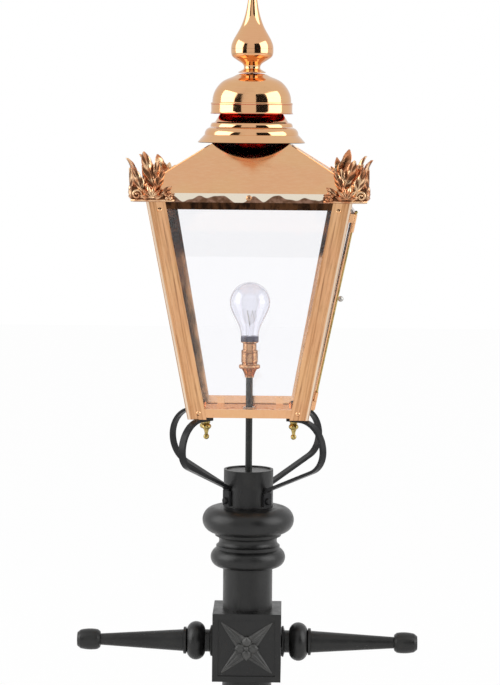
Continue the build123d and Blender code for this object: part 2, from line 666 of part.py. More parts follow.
def glass_clips():
    """Bent tabs that hold the three panes against the tray's rim and the top band."""
    low_z = BASE_Z + TRAY_FLOOR
    high_z = EAVE_Z - TOP_BAND + GLASS_TUCK
    low = body_shell(CLIP_FACE, CLIP_BACK, low_z, TRAY_TOP - 2)
    high = body_shell(CLIP_FACE, CLIP_BACK, high_z - GLASS_TUCK + 0.5, high_z + 6)
    high += body_shell(RAIL_BACK + 0.1, CLIP_BACK, high_z + 5, high_z + 6)
    clips = []
    for bearing in (90, 180, 270):
        for wall, z in ((low, low_z), (high, high_z)):
            for side in (-1, 1):
                place = side * half_width(z) * CLIP_SPREAD
                slice_box = Pos(half_width(z), place, z) * Box(2 * CLIP_WIDTH + 40, CLIP_WIDTH, 60)
                clips.append(wall & (Rotation(0, 0, bearing) * slice_box))
    return clips


def dome_head(radius, height):
    """Low domed rivet head standing on z = 0."""
    ball = (radius ** 2 + height ** 2) / (2 * height)
    return rod(radius, 0, height) & Pos(0, 0, height - ball) * Sphere(ball)


def post_rivets():
    """Rivet heads on the posts' flanges, over the top band and over the tray's rim."""
    head = dome_head(RIVET_R, RIVET_HEIGHT)
    rivets = []
    for bearing in (90, 180, 270):
        for z in (EAVE_Z - TOP_BAND - 1, BASE_Z + TRAY_RIM / 2 + 1):
            plane = side_plane(bearing, POST_RECESS, z)
            across = half_width(z) - POST_BEAD - (POST_FLANGE - POST_BEAD) / 2
            for side in (-1, 1):
                rivets.append(plane * Pos(side * across, 0, 0.02) * head)
    return rivets


# Eave and roof

def eave_screw_holes():
    """Clear holes for the four screws through fascia and lip."""
    z = FASCIA_Z + FASCIA_HEIGHT / 2
    bars = [cross_bar(EAVE_SCREW_R + SCREW_GAP, LIP_HALF - 8, EAVE_HALF + 8, bearing, z)
            for bearing in (0, 90, 180, 270)]
    return Compound(bars)


def eave_band():
    """Upright fascia round the foot of the roof."""
    band = frustum(EAVE_HALF, FASCIA_Z, EAVE_HALF, EAVE_Z)
    band -= frustum(FASCIA_IN, FASCIA_Z - 1, FASCIA_IN, EAVE_Z + 1)
    return band - eave_screw_holes()


def eave_screws():
    """Round-headed screws in the middle of each side of the fascia."""
    z = FASCIA_Z + FASCIA_HEIGHT / 2
    screws = []
    for bearing in (0, 90, 180, 270):
        head = Rotation(0, 0, bearing) * Pos(EAVE_HALF + 0.05, 0, z) * Rotation(0, 90, 0) \
            * dome_head(EAVE_SCREW_HEAD_R, EAVE_SCREW_HEAD)
        screws.append(head + cross_bar(EAVE_SCREW_R, LIP_HALF - 5, EAVE_HALF + 1, bearing, z))
    return screws


def roof_shell():
    """Hipped roof of thin sheet, open under the ventilator."""
    level_wall = ROOF_SHEET * sqrt(1 + ROOF_SLOPE ** 2) / ROOF_SLOPE
    top = EAVE_Z + ROOF_RISE
    outside = frustum(EAVE_HALF, EAVE_Z, ROOF_TOP_HALF, top)
    drop = 1.0
    inside = frustum(EAVE_HALF - level_wall + drop / ROOF_SLOPE, EAVE_Z - drop,
                     ROOF_TOP_HALF - level_wall - drop / ROOF_SLOPE, top + drop)
    return outside - inside


def crest_wing():
    """Outline of one side of a corner crest: x from the corner, y up from the fascia's foot."""
    band = CREST_BAND / CREST_HEIGHT
    shares = [(0, 0), (1, 0), (1, band * 0.55), (0.86, band), (0.74, band * 1.1), (0.68, 0.66),
              (0.6, 0.45), (0.55, 0.85), (0.44, 0.6), (0.28, 1), (0.12, 0.62), (0, 0.36)]
    return make_face(Polyline([(CREST_LENGTH * x, CREST_HEIGHT * y) for x, y in shares], close=True))


def corner_crests():
    """Four cast crests, each with one wing on either side of an eave corner."""
    corner = EAVE_HALF + SEAT_GAP + CREST_SHEET
    wing = extrude(crest_wing(), CREST_SHEET)
    side = Plane(origin=(corner, corner, FASCIA_Z), x_dir=(0, -1, 0), z_dir=(-1, 0, 0))
    other = Plane(origin=(corner, corner, FASCIA_Z), x_dir=(-1, 0, 0), z_dir=(0, 1, 0))
    crest = side * wing + other * Pos(0, 0, -CREST_SHEET) * wing
    names = {"corner_crest_rear_right": 0, "corner_crest_rear_left": 90,
             "corner_crest_front_left": 180, "corner_crest_front_right": 270}
    return round_all(names, crest)


# Ventilator and finial

def vent_skirt():
    """Stepped spun skirt that stands on the four hips."""
    lip = SKIRT_R - VENT_SHEET / 2
    shelf_r = CONE_FOOT_R + 1

    def at(inwards, up):
        """Point at shares of the way in to the shelf and up to it."""
        return (lip - (lip - shelf_r) * inwards, SKIRT_Z + SKIRT_HEIGHT * up)

    flare = Spline(at(0, 0), at(0.3, 0.27), at(0.55, 0.49))
    ring = ThreePointArc(at(0.6, 0.51), at(0.65, 0.75), at(0.84, 0.94))
    shelf = Polyline(at(0.84, 0.94), at(1, 1), (CONE_FOOT_R - 9, SKIRT_Z + SKIRT_HEIGHT))
    edges = [flare.edge(), Line(flare @ 1, ring @ 0).edge(), ring.edge(), *shelf.edges()]
    return spun(VENT_SHEET, *edges)


def vent_cone():
    """Ring, cone and neck that carry the dome's strap."""
    foot = (CONE_FOOT_R - VENT_SHEET / 2, CONE_Z)
    shoulder = (CONE_FOOT_R - 2.4, CONE_Z + 5.8)
    ring = ThreePointArc(foot, (CONE_FOOT_R - 1.0, CONE_Z + 3.2), shoulder)
    rise = Polyline(shoulder, (shoulder[0] - CONE_STEP, CONE_Z + 7.6), (NECK_R + 1, NECK_Z - 1),
                    (NECK_R, NECK_Z), (NECK_R, NECK_Z + NECK_HEIGHT))
    return spun(VENT_SHEET, ring.edge(), *rise.edges())


def neck_inside():
    """Radius that the strap fills inside the neck."""
    return NECK_R - VENT_SHEET / 2 - 0.1


def strap_z():
    """Underside of the strap across the neck."""
    return NECK_Z + NECK_HEIGHT - STRAP_SHEET - 2


def dome_strap():
    """Bar across the neck with turned-down ends, riveted in, that the dome is bolted to."""
    z = strap_z()
    reach = neck_inside()
    bar = Pos(0, 0, z + STRAP_SHEET / 2) * Box(2 * reach, STRAP_WIDTH, STRAP_SHEET)
    for side in (-1, 1):
        lug_x = side * (reach - STRAP_SHEET)
        bar += Pos(lug_x, 0, z - STRAP_LUG / 2 + 0.5) * Box(2 * STRAP_SHEET, STRAP_WIDTH, STRAP_LUG + 1)
    bar &= rod(reach, z - STRAP_LUG, z + STRAP_SHEET)
    return bar - rod(STUD_R + SCREW_GAP, z - 1, z + STRAP_SHEET + 1)


def dome_spacer():
    """Tube between the strap and the crown of the dome."""
    return tube(SPACER_R, STUD_R + SCREW_GAP, strap_z() + STRAP_SHEET, DOME_TOP - VENT_SHEET / 2 - 0.1)


def vent_dome():
    """Bell-shaped cover with a beaded band and a flared lip."""
    side_foot = (DOME_SIDE_R, DOME_Z + 3.5)
    bead_low = (DOME_SIDE_R, DOME_Z + DOME_BAND - 1)
    bead_high = (DOME_CROWN_R, DOME_Z + DOME_BAND + 1.5)
    crown_z = DOME_TOP
    rise = crown_z - bead_high[1]
    lip = ThreePointArc((DOME_LIP_R, DOME_Z), (DOME_SIDE_R + 0.5, DOME_Z + 1.5), side_foot)
    band = Line(side_foot, bead_low)
    bead = ThreePointArc(bead_low, (DOME_SIDE_R + 0.6, DOME_Z + DOME_BAND + 0.4), bead_high)
    shares = ((0.958, 0.34), (0.83, 0.614), (0.71, 0.75), (0.47, 0.89))
    bends = [(DOME_CROWN_R * out, bead_high[1] + rise * up) for out, up in shares]
    crown = Spline(bead_high, *bends, (STUD_R + 1, crown_z), tangents=((0, 1), (-1, 0)))
    return spun(VENT_SHEET, lip.edge(), band.edge(), bead.edge(), crown.edge())


def finial_seat():
    """Height inside the cup where the clamping washer bears."""
    return FINIAL_Z + FINIAL_NECK_HEIGHT + FINIAL_WASHER_HEIGHT


def finial_stud():
    """Long stud through strap, spacer, dome and finial foot."""
    return rod(STUD_R, strap_z() - NUT_HEIGHT - 3, finial_seat() + NUT_HEIGHT + 5)


def finial_nuts():
    """Nut under the strap, and washer and nut inside the finial's cup."""
    low = strap_z()
    seat = finial_seat()
    washer = tube(FINIAL_WASHER_R - FINIAL_SHEET, STUD_R + SCREW_GAP, seat, seat + 1.5)
    upper = hex_nut(NUT_R, STUD_R + 0.1, seat + 1.5, seat + 1.5 + NUT_HEIGHT)
    lower = hex_nut(NUT_R, STUD_R + 0.1, low - NUT_HEIGHT, low)
    return [lower, washer, upper]


def finial_lower():
    """Foot, neck and cup of the finial."""
    half = FINIAL_SHEET / 2
    neck_z = FINIAL_Z + FINIAL_NECK_HEIGHT
    seam = FINIAL_Z + FINIAL_SEAM_HEIGHT
    neck = FINIAL_NECK_R - half
    foot = Spline((FINIAL_FOOT_R, FINIAL_Z + half), (FINIAL_FOOT_R * 0.74, FINIAL_Z + 3.6), (neck, neck_z),
                  tangents=((-1, 0.3), (0, 1)))
    cup = Spline((neck, neck_z), (FINIAL_WASHER_R, finial_seat()), (FINIAL_CUP_R * 0.79, neck_z + 14.2),
                 (FINIAL_CUP_R * 0.94, neck_z + 19), (FINIAL_CUP_R - half, seam - 4),
                 (FINIAL_CUP_R - half, seam), tangents=((0, 1), (0, 1)))
    return spun(FINIAL_SHEET, foot.edge(), cup.edge())


def finial_upper():
    """Hollow spike that closes the cup."""
    seam = FINIAL_Z + FINIAL_SEAM_HEIGHT + 0.2
    tip = FINIAL_Z + FINIAL_HEIGHT
    rise = tip - seam
    wall = FINIAL_SHEET
    outside = Spline((FINIAL_CUP_R, seam), (FINIAL_CUP_R * 0.92, seam + rise * 0.14),
                     (FINIAL_CUP_R * 0.56, seam + rise * 0.40), (FINIAL_TIP_R + 3.2, seam + rise * 0.70),
                     (FINIAL_TIP_R, tip - FINIAL_TIP_R), tangents=((0, 1), (-0.16, 1)))
    round_z = tip - FINIAL_TIP_R
    diagonal = FINIAL_TIP_R / sqrt(2)
    point = ThreePointArc((FINIAL_TIP_R, round_z), (diagonal, round_z + diagonal), (0, tip))
    hollow_top = seam + rise * 0.6
    inside = Spline((FINIAL_CUP_R - wall, seam), (FINIAL_CUP_R * 0.92 - wall, seam + rise * 0.14),
                    (FINIAL_CUP_R * 0.5 - wall, seam + rise * 0.40), (wall, hollow_top),
                    tangents=((0, 1), (-0.4, 1)))
    axis = Polyline((0, tip), (0, hollow_top), (wall, hollow_top))
    edges = [outside.edge(), point.edge(), *axis.edges(), inside.edge(),
             Line((FINIAL_CUP_R - wall, seam), (FINIAL_CUP_R, seam)).edge()]
    return turned(*edges)


# Door

DOOR_Z = BASE_Z + DOOR_FOOT_ABOVE_BASE
DOOR_TOP = EAVE_Z - DOOR_BELOW_EAVE
DOOR_HEIGHT = side_length(DOOR_Z, DOOR_TOP)


def door_plane(outwards):
    """Plane of the door, leaning out at its head, at a distance from the beads' faces at its foot."""
    side = side_plane(0, 0, DOOR_Z)
    lean = TILT + radians(DOOR_LEAN)
    return Plane(origin=side.origin, x_dir=side.x_dir, z_dir=(cos(lean), 0, -sin(lean))).offset(outwards)


def door_outline(inset_hinge, inset_free, inset_ends):
    """Trapezoid on the door's plane, inset from the beads' edges and from the door's ends."""
    low = half_width(DOOR_Z) + inset_ends * sin(TILT)
    high = low + (DOOR_HEIGHT - 2 * inset_ends) * sin(TILT)
    foot = inset_ends
    head = DOOR_HEIGHT - inset_ends
    return make_face(Polyline((inset_hinge - low, foot), (low - inset_free, foot),
                              (high - inset_free, head), (inset_hinge - high, head), close=True))


def door_face(inset):
    """Trapezoid inset by the same distance from every edge of the door."""
    return door_outline(DOOR_EDGE_INSET + inset, DOOR_FREE_INSET + inset, inset)


def door_frame():
    """Folded door frame, rebated from inside for its glass."""
    plane = door_plane(DOOR_GAP)
    frame = extrude(plane * (door_face(0) - door_face(DOOR_MEMBER)), DOOR_DEPTH)
    frame -= extrude(plane * door_face(DOOR_MEMBER - DOOR_REBATE), DOOR_DEPTH - DOOR_LIP)
    return frame - knob_place() * rod(KNOB_STEM_R + SCREW_GAP, -DOOR_DEPTH - 1, 1)


def door_glass():
    """Pane seated in the rebate."""
    plane = door_plane(DOOR_GAP + DOOR_DEPTH - DOOR_LIP - SEAT_GAP)
    return extrude(plane * door_face(DOOR_MEMBER - DOOR_REBATE + 1), -DOOR_GLASS)


def door_clips():
    """Tabs inside the rebate that keep the pane in."""
    depth = DOOR_GAP + DOOR_DEPTH - DOOR_LIP - SEAT_GAP - DOOR_GLASS - 0.1
    plane = door_plane(depth)
    inset = DOOR_MEMBER - DOOR_REBATE
    clips = []
    for height in (0.2, 0.8):
        along = DOOR_HEIGHT * height
        half = half_width(DOOR_Z) + along * sin(TILT)
        for x in (inset + DOOR_EDGE_INSET - half + 4.3, half - inset - DOOR_FREE_INSET - 4.3):
            tab = Box(8, CLIP_WIDTH, DOOR_CLIP, align=(Align.CENTER, Align.CENTER, Align.MAX))
            clips.append(plane * Pos(x, along, 0) * tab)
    trimmed = extrude(door_plane(DOOR_GAP - 5) * door_face(inset + 0.2), DOOR_DEPTH + 10)
    return [clip & trimmed for clip in clips]


def knob_place():
    """Plane on the door's face, near the middle of the free stile."""
    along = DOOR_HEIGHT * KNOB_RISE
    half = half_width(DOOR_Z) + along * sin(TILT)
    plane = door_plane(DOOR_GAP + DOOR_DEPTH)
    return plane * Pos(half - DOOR_FREE_INSET - DOOR_MEMBER / 2, along, 0)


def door_knob():
    """Ball knob on a stem with a rose."""
    stem_top = KNOB_REACH - KNOB_BALL_R * 0.9
    knob = rod(KNOB_STEM_R, -DOOR_DEPTH + 0.5, stem_top) + rod(KNOB_STEM_R * 2.2, 0.1, 1.3)
    knob += Pos(0, 0, KNOB_REACH) * Sphere(KNOB_BALL_R)
    return knob_place() * knob


def hinge_plane():
    """Plane across the hinge pin at the door's foot: x outwards, y towards the free edge."""
    foot = door_plane(DOOR_GAP + DOOR_DEPTH - HINGE_SINK)
    x_low = HINGE_INSET - half_width(DOOR_Z)
    x_high = x_low - DOOR_HEIGHT * sin(TILT)
    start = (foot * Pos(x_low, 0, 0)).position
    end = (foot * Pos(x_high, DOOR_HEIGHT, 0)).position
    return Plane(origin=start, x_dir=foot.z_dir, z_dir=(end - start).normalized())


def pin_length():
    """Distance between the door's foot and head along the hinge pin."""
    return DOOR_HEIGHT * sqrt(1 + sin(TILT) ** 2)


def knuckle_spans():
    """Spans along the pin of the fixed knuckles and of the door's own."""
    step = HINGE_KNUCKLE + HINGE_KNUCKLE_GAP
    length = pin_length()
    fixed = [(2, 2 + HINGE_KNUCKLE), (length - 2 - HINGE_KNUCKLE, length - 2)]
    moving = [(2 + step, 2 + step + HINGE_KNUCKLE), (length - 2 - step - HINGE_KNUCKLE, length - 2 - step)]
    return fixed, moving


def post_knuckles():
    """Fixed knuckles, each on a lug that stands on the post's bead."""
    fixed, moving = knuckle_spans()
    pieces = []
    for low, high in fixed:
        reach = DOOR_GAP + DOOR_DEPTH - HINGE_SINK - 0.1 + low * sin(radians(DOOR_LEAN))
        barrel = tube(HINGE_BARREL_R, HINGE_PIN_R + 0.02, low, high)
        lug = Pos(-reach / 2, 0, (low + high) / 2) * Box(reach, 3.6, high - low)
        pieces.append(hinge_plane() * (barrel + (lug - rod(HINGE_BARREL_R - 0.3, low - 1, high + 1))))
    return pieces


def door_knuckles():
    """Moving knuckles, each on a strap over the door's face."""
    fixed, moving = knuckle_spans()
    pieces = []
    strap_length = DOOR_EDGE_INSET - HINGE_INSET + 12
    for low, high in moving:
        barrel = tube(HINGE_BARREL_R, HINGE_PIN_R + RUNNING_GAP, low, high)
        strap_mid = HINGE_SINK + 0.1 + HINGE_STRAP / 2
        middle = (low + high) / 2
        strap = Pos(strap_mid, strap_length / 2, middle) * Box(HINGE_STRAP, strap_length, high - low)
        pieces.append(hinge_plane() * (barrel + (strap - rod(HINGE_BARREL_R - 0.3, low - 1, high + 1))))
    return pieces


def hinge_pin():
    """Long pin with a ball head, through all four knuckles."""
    length = pin_length()
    pin = rod(HINGE_PIN_R, 0, length + 1) + Pos(0, 0, length + 1.5) * Sphere(HINGE_PIN_HEAD_R)
    return hinge_plane() * pin


def door_catch():
    """Bowed spring leaf on the rear post that the free stile snaps against."""
    along = DOOR_HEIGHT / 2
    half = half_width(DOOR_Z) + along * sin(TILT)
    face = side_plane(0, POST_RECESS, DOOR_Z) * Pos(half - DOOR_FREE_INSET - DOOR_MEMBER / 2, along, 0.1)
    stand_off = DOOR_GAP + along * sin(radians(DOOR_LEAN))
    rise = POST_RECESS * cos(TILT) + stand_off - SEAT_GAP - CATCH_SHEET / 2 - 0.15
    end = CATCH_LENGTH / 2
    ends = CATCH_SHEET / 2
    knee = end * 0.6
    bow = ThreePointArc((-knee, ends), (0, rise), (knee, ends))
    feet = [Line((-end, ends), (-knee, ends)), Line((knee, ends), (end, ends))]
    strip = trace(Wire([feet[0].edge(), bow.edge(), feet[1].edge()]), CATCH_SHEET)
    leaf = extrude(Plane.YZ * strip, CATCH_WIDTH / 2, both=True)
    return face * leaf


# Lamp

def lamp_pipe():
    """Pipe that carries the lampholder and the wires."""
    return tube(PIPE_R, PIPE_BORE_R, COLLAR_TOP - PIPE_FOOT_BELOW_COLLAR, PIPE_TOP)


def pipe_nuts():
    """Lock nuts above and below the tray."""
    floor = BASE_Z + TRAY_FLOOR
    upper = hex_nut(PIPE_NUT_R, PIPE_R + 0.1, floor, floor + NUT_HEIGHT)
    lower = hex_nut(PIPE_NUT_R, PIPE_R + 0.1, BASE_Z - NUT_HEIGHT, BASE_Z)
    return [upper, lower]


def holder_body():
    """Turned brass body, screwed on the pipe and hollow above it."""
    top = HOLDER_Z + HOLDER_BODY_HEIGHT
    grip_top = PIPE_TOP + 0.2
    waist = HOLDER_Z + HOLDER_BODY_HEIGHT * 0.6
    outline = [
        Polyline((PIPE_R + 0.1, HOLDER_Z), (PIPE_R + 2, HOLDER_Z), (PIPE_R + 2, HOLDER_Z + 2)),
        Spline((PIPE_R + 2, HOLDER_Z + 2), (HOLDER_BODY_R - 3, HOLDER_Z + 8), (HOLDER_BODY_R, waist),
               tangents=((0.2, 1), (0.6, 1))),
        Polyline((HOLDER_BODY_R, waist), (HOLDER_BODY_R, top), (HOLDER_BODY_R - 2, top),
                 (HOLDER_BODY_R - 2, waist + 2), (PIPE_R - 1, waist), (PIPE_R - 1, grip_top),
                 (PIPE_R + 0.1, grip_top), (PIPE_R + 0.1, HOLDER_Z)),
    ]
    return turned(*[edge for line in outline for edge in line.edges()])


def holder_ring():
    """Knurled clamping ring round the body."""
    low = HOLDER_Z + HOLDER_BODY_HEIGHT * 0.62
    high = low + HOLDER_RING_HEIGHT
    inner = HOLDER_BODY_R + 0.1
    return turned_polygon((inner, low), (HOLDER_RING_R - 1, low), (HOLDER_RING_R, low + 1),
                          (HOLDER_RING_R, high - 1), (HOLDER_RING_R - 1, high), (inner, high))


def bayonet_slot(turn_low, turn_high, z_low, z_high):
    """Cut through the barrel's wall between two bearings and two heights."""
    inner = BARREL_R - BARREL_WALL - 1
    outer = BARREL_R + 1
    outline = Polyline((inner, z_low), (outer, z_low), (outer, z_high), (inner, z_high), close=True)
    cut = revolve(Plane.XZ * make_face(outline), Axis.Z, revolution_arc=turn_high - turn_low)
    return Rotation(0, 0, turn_low) * cut


def holder_barrel():
    """Barrel with two L-shaped slots for the bulb's pins."""
    top = BARREL_Z + BARREL_HEIGHT
    inner = BARREL_R - BARREL_WALL
    foot = BARREL_Z + 0.1
    groove = BARREL_R - 0.6
    barrel = turned_polygon((inner, foot), (BARREL_R - 1, foot), (BARREL_R, BARREL_Z + 2),
                            (BARREL_R, top - 5), (groove, top - 4), (BARREL_R, top - 3),
                            (BARREL_R, top - 1), (groove, top), (inner, top))
    pin_half = BAYONET_PIN_R + SEAT_GAP
    half_turn = degrees(pin_half / inner)
    for side in (0, 180):
        low = BAYONET_Z - pin_half
        high = BAYONET_Z + pin_half
        free = side + BAYONET_TURN
        barrel -= bayonet_slot(side - half_turn, free + half_turn, low, high)
        barrel -= bayonet_slot(free - half_turn, free + half_turn, low, top + 1)
    return barrel


def holder_insulator():
    """Disc with two spring plungers under the bulb's contacts."""
    disc_top = BARREL_Z + 3.5
    disc = rod(BARREL_R - BARREL_WALL - 0.1, BARREL_Z + 0.2, disc_top)
    for side in (-1, 1):
        disc += rod(PLUNGER_R, disc_top - 1, CAP_Z - CONTACT_PROUD - SEAT_GAP, 0, side * CONTACT_SPREAD)
    return disc


def bulb_cap():
    """Bayonet cap with two side pins and two contacts."""
    outline = Polyline((0, CAP_Z), (CAP_R, CAP_Z), (CAP_R, CAP_TOP - 3), (CAP_COLLAR_R, CAP_TOP - 1.2),
                       (CAP_COLLAR_R, CAP_TOP), (0, CAP_TOP), close=True)
    cap = revolve(Plane.XZ * make_face(outline), Axis.Z)
    for bearing in (0, 180):
        cap += cross_bar(BAYONET_PIN_R, CAP_R - 1, BARREL_R - SEAT_GAP, bearing, BAYONET_Z)
    for side in (-1, 1):
        cap += rod(CONTACT_R, CAP_Z - CONTACT_PROUD, CAP_Z + 1, 0, side * CONTACT_SPREAD)
    return cap


def bulb_shape(inset, foot):
    """Outline edges of the bulb from its crown to its neck, inset by a distance."""
    radius = BULB_R - inset
    neck = BULB_NECK_R - inset
    centre = CAP_TOP + BULB_LENGTH - BULB_R
    knee = radians(20)
    hip = (radius * cos(knee), centre - radius * sin(knee))
    crown = ThreePointArc((0, centre + radius), (radius * cos(knee), centre + radius * sin(knee)), hip)
    flank = Spline(hip, (neck + 2.5, CAP_TOP + 22), (neck, CAP_TOP + 8),
                   tangents=((-sin(knee), -cos(knee)), (0, -1)))
    stub = Line((neck, CAP_TOP + 8), (neck, foot))
    return [crown.edge(), flank.edge(), stub.edge()]


def bulb_glass():
    """Clear pear-shaped envelope."""
    foot = CAP_TOP + 0.1
    crown = CAP_TOP + BULB_LENGTH
    neck = BULB_NECK_R
    edges = bulb_shape(0, foot) + bulb_shape(BULB_WALL, foot)
    rim = Line((neck, foot), (neck - BULB_WALL, foot))
    middle = Line((0, crown), (0, crown - BULB_WALL))
    return turned(*edges, rim.edge(), middle.edge())


def sweep_wire(points):
    """Round wire through the points."""
    path = Polyline(*points)
    start = Plane(origin=path @ 0, z_dir=path % 0)
    return sweep(start * Circle(FILAMENT_WIRE_R), path=path, transition=Transition.ROUND)


def bulb_filament():
    """Glass stem with two lead wires and a looped filament."""
    foot = CAP_TOP + 0.1
    top = CAP_TOP + STEM_HEIGHT
    wire_top = top + FILAMENT_RISE
    half = FILAMENT_SPAN / 2
    stem = turned_polygon((0, foot), (STEM_FOOT_R, foot), (STEM_R + 1.4, foot + 8), (STEM_R, top - 3),
                          (STEM_R - 1, top), (0, top))
    for side in (-1, 1):
        stem += sweep_wire([(0, side * 1.2, top - 2), (0, side * half, wire_top)])
    waves = ((-1, 0), (-0.5, 3), (0, -1), (0.5, 3), (1, 0))
    return stem + sweep_wire([(0, half * across, wire_top + up) for across, up in waves])


def all_nodes():
    """Every node of the lamp by name."""
    nodes = {
        "post_capital": post_capital(),
        "ladder_block": ladder_block(),
        "post_grub_screws": post_grub_screws(),
        "frog_collar": frog_collar(),
        "leg_bolts": leg_bolts(),
        "leg_washers": leg_washers(),
        "leg_studs": leg_studs(),
        "leg_stud_nuts": leg_stud_nuts(),
        "drop_finials": drop_finials(),
        "base_tray": base_tray(),
        "top_frame": top_frame(),
        "glass_clips": glass_clips(),
        "post_rivets": post_rivets(),
        "eave_band": eave_band(),
        "eave_screws": eave_screws(),
        "roof_shell": roof_shell(),
        "vent_skirt": vent_skirt(),
        "vent_cone": vent_cone(),
        "dome_strap": dome_strap(),
        "dome_spacer": dome_spacer(),
        "vent_dome": vent_dome(),
        "finial_stud": finial_stud(),
        "finial_nuts": finial_nuts(),
        "finial_lower": finial_lower(),
        "finial_upper": finial_upper(),
        "door_frame": door_frame(),
        "door_glass": door_glass(),
        "door_clips": door_clips(),
        "door_knob": door_knob(),
        "door_knuckles": door_knuckles(),
        "post_knuckles": post_knuckles(),
        "hinge_pin": hinge_pin(),
        "door_catch": door_catch(),
        "lamp_pipe": lamp_pipe(),
        "pipe_nuts": pipe_nuts(),
        "holder_body": holder_body(),
        "holder_ring": holder_ring(),
        "holder_barrel": holder_barrel(),
        "holder_insulator": holder_insulator(),
        "bulb_cap": bulb_cap(),
        "bulb_glass": bulb_glass(),
        "bulb_filament": bulb_filament(),
    }
    nodes.update({f"frog_leg_{name}": frog_leg(*place) for name, place in LEGS.items()})
    for group in (ladder_arms(), corner_posts(), fixed_glass(), corner_crests()):
        nodes.update(group)
    return nodes


os.makedirs("parts", exist_ok=True)
for node, shape in all_nodes().items():
    whole = Compound(shape) if isinstance(shape, list) else shape
    export_step(whole, f"parts/{node}.step")
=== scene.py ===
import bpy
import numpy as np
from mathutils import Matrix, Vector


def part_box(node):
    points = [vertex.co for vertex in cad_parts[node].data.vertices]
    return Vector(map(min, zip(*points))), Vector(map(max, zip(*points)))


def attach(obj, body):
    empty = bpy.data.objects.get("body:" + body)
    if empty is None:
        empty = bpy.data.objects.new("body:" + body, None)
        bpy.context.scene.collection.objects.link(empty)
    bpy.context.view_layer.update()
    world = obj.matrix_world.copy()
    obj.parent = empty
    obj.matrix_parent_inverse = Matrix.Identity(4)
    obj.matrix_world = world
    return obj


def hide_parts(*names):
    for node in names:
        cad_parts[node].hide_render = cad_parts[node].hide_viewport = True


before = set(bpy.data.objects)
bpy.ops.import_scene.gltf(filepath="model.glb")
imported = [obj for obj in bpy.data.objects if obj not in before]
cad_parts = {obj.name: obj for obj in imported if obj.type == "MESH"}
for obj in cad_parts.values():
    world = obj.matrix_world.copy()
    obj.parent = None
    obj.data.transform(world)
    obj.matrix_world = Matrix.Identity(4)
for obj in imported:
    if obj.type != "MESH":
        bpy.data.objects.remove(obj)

# %% [markdown]
# # A post top lantern
# A copper street lantern stands on a black iron bracket, on the head of a black iron post.
# The frame that was just loaded holds every piece with a real size: sheets, bars, screws, panes.
# This lesson gives those pieces their finishes, and adds what a caster, a spinner and a lamp
# maker would add: leaf castings on the eave corners, a leaf star on the post head, solder
# beads, a knurled ring, and the wires inside the bulb. Lengths are in metres.

MM = 0.001
TAU = 2 * np.pi
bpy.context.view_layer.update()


# %% [markdown]
# ## Writing a finish as arithmetic
# A finish is a tree of shader nodes. Linking nodes by hand hides the idea behind it, so the
# tree is written here as plain arithmetic: one small class wraps an output socket, and each
# operator adds the Math node that stands for it. Reflected forms let a number come first.

# %% A socket with operators
class Value:
    """An output socket of a finish. a + b, a - b, a * b and 1 - a add Math nodes."""

    def __init__(self, finish, socket):
        self.finish = finish
        self.socket = socket

    def math(self, operation, first, second):
        """Math node of one operation on two values."""
        return self.finish.add("Math", {"operation": operation}, {0: first, 1: second})

    def __add__(self, other):
        return self.math("ADD", self, other)

    def __sub__(self, other):
        return self.math("SUBTRACT", self, other)

    def __rsub__(self, other):
        return self.math("SUBTRACT", other, self)

    def __mul__(self, other):
        return self.math("MULTIPLY", self, other)

    __radd__ = __add__
    __rmul__ = __mul__


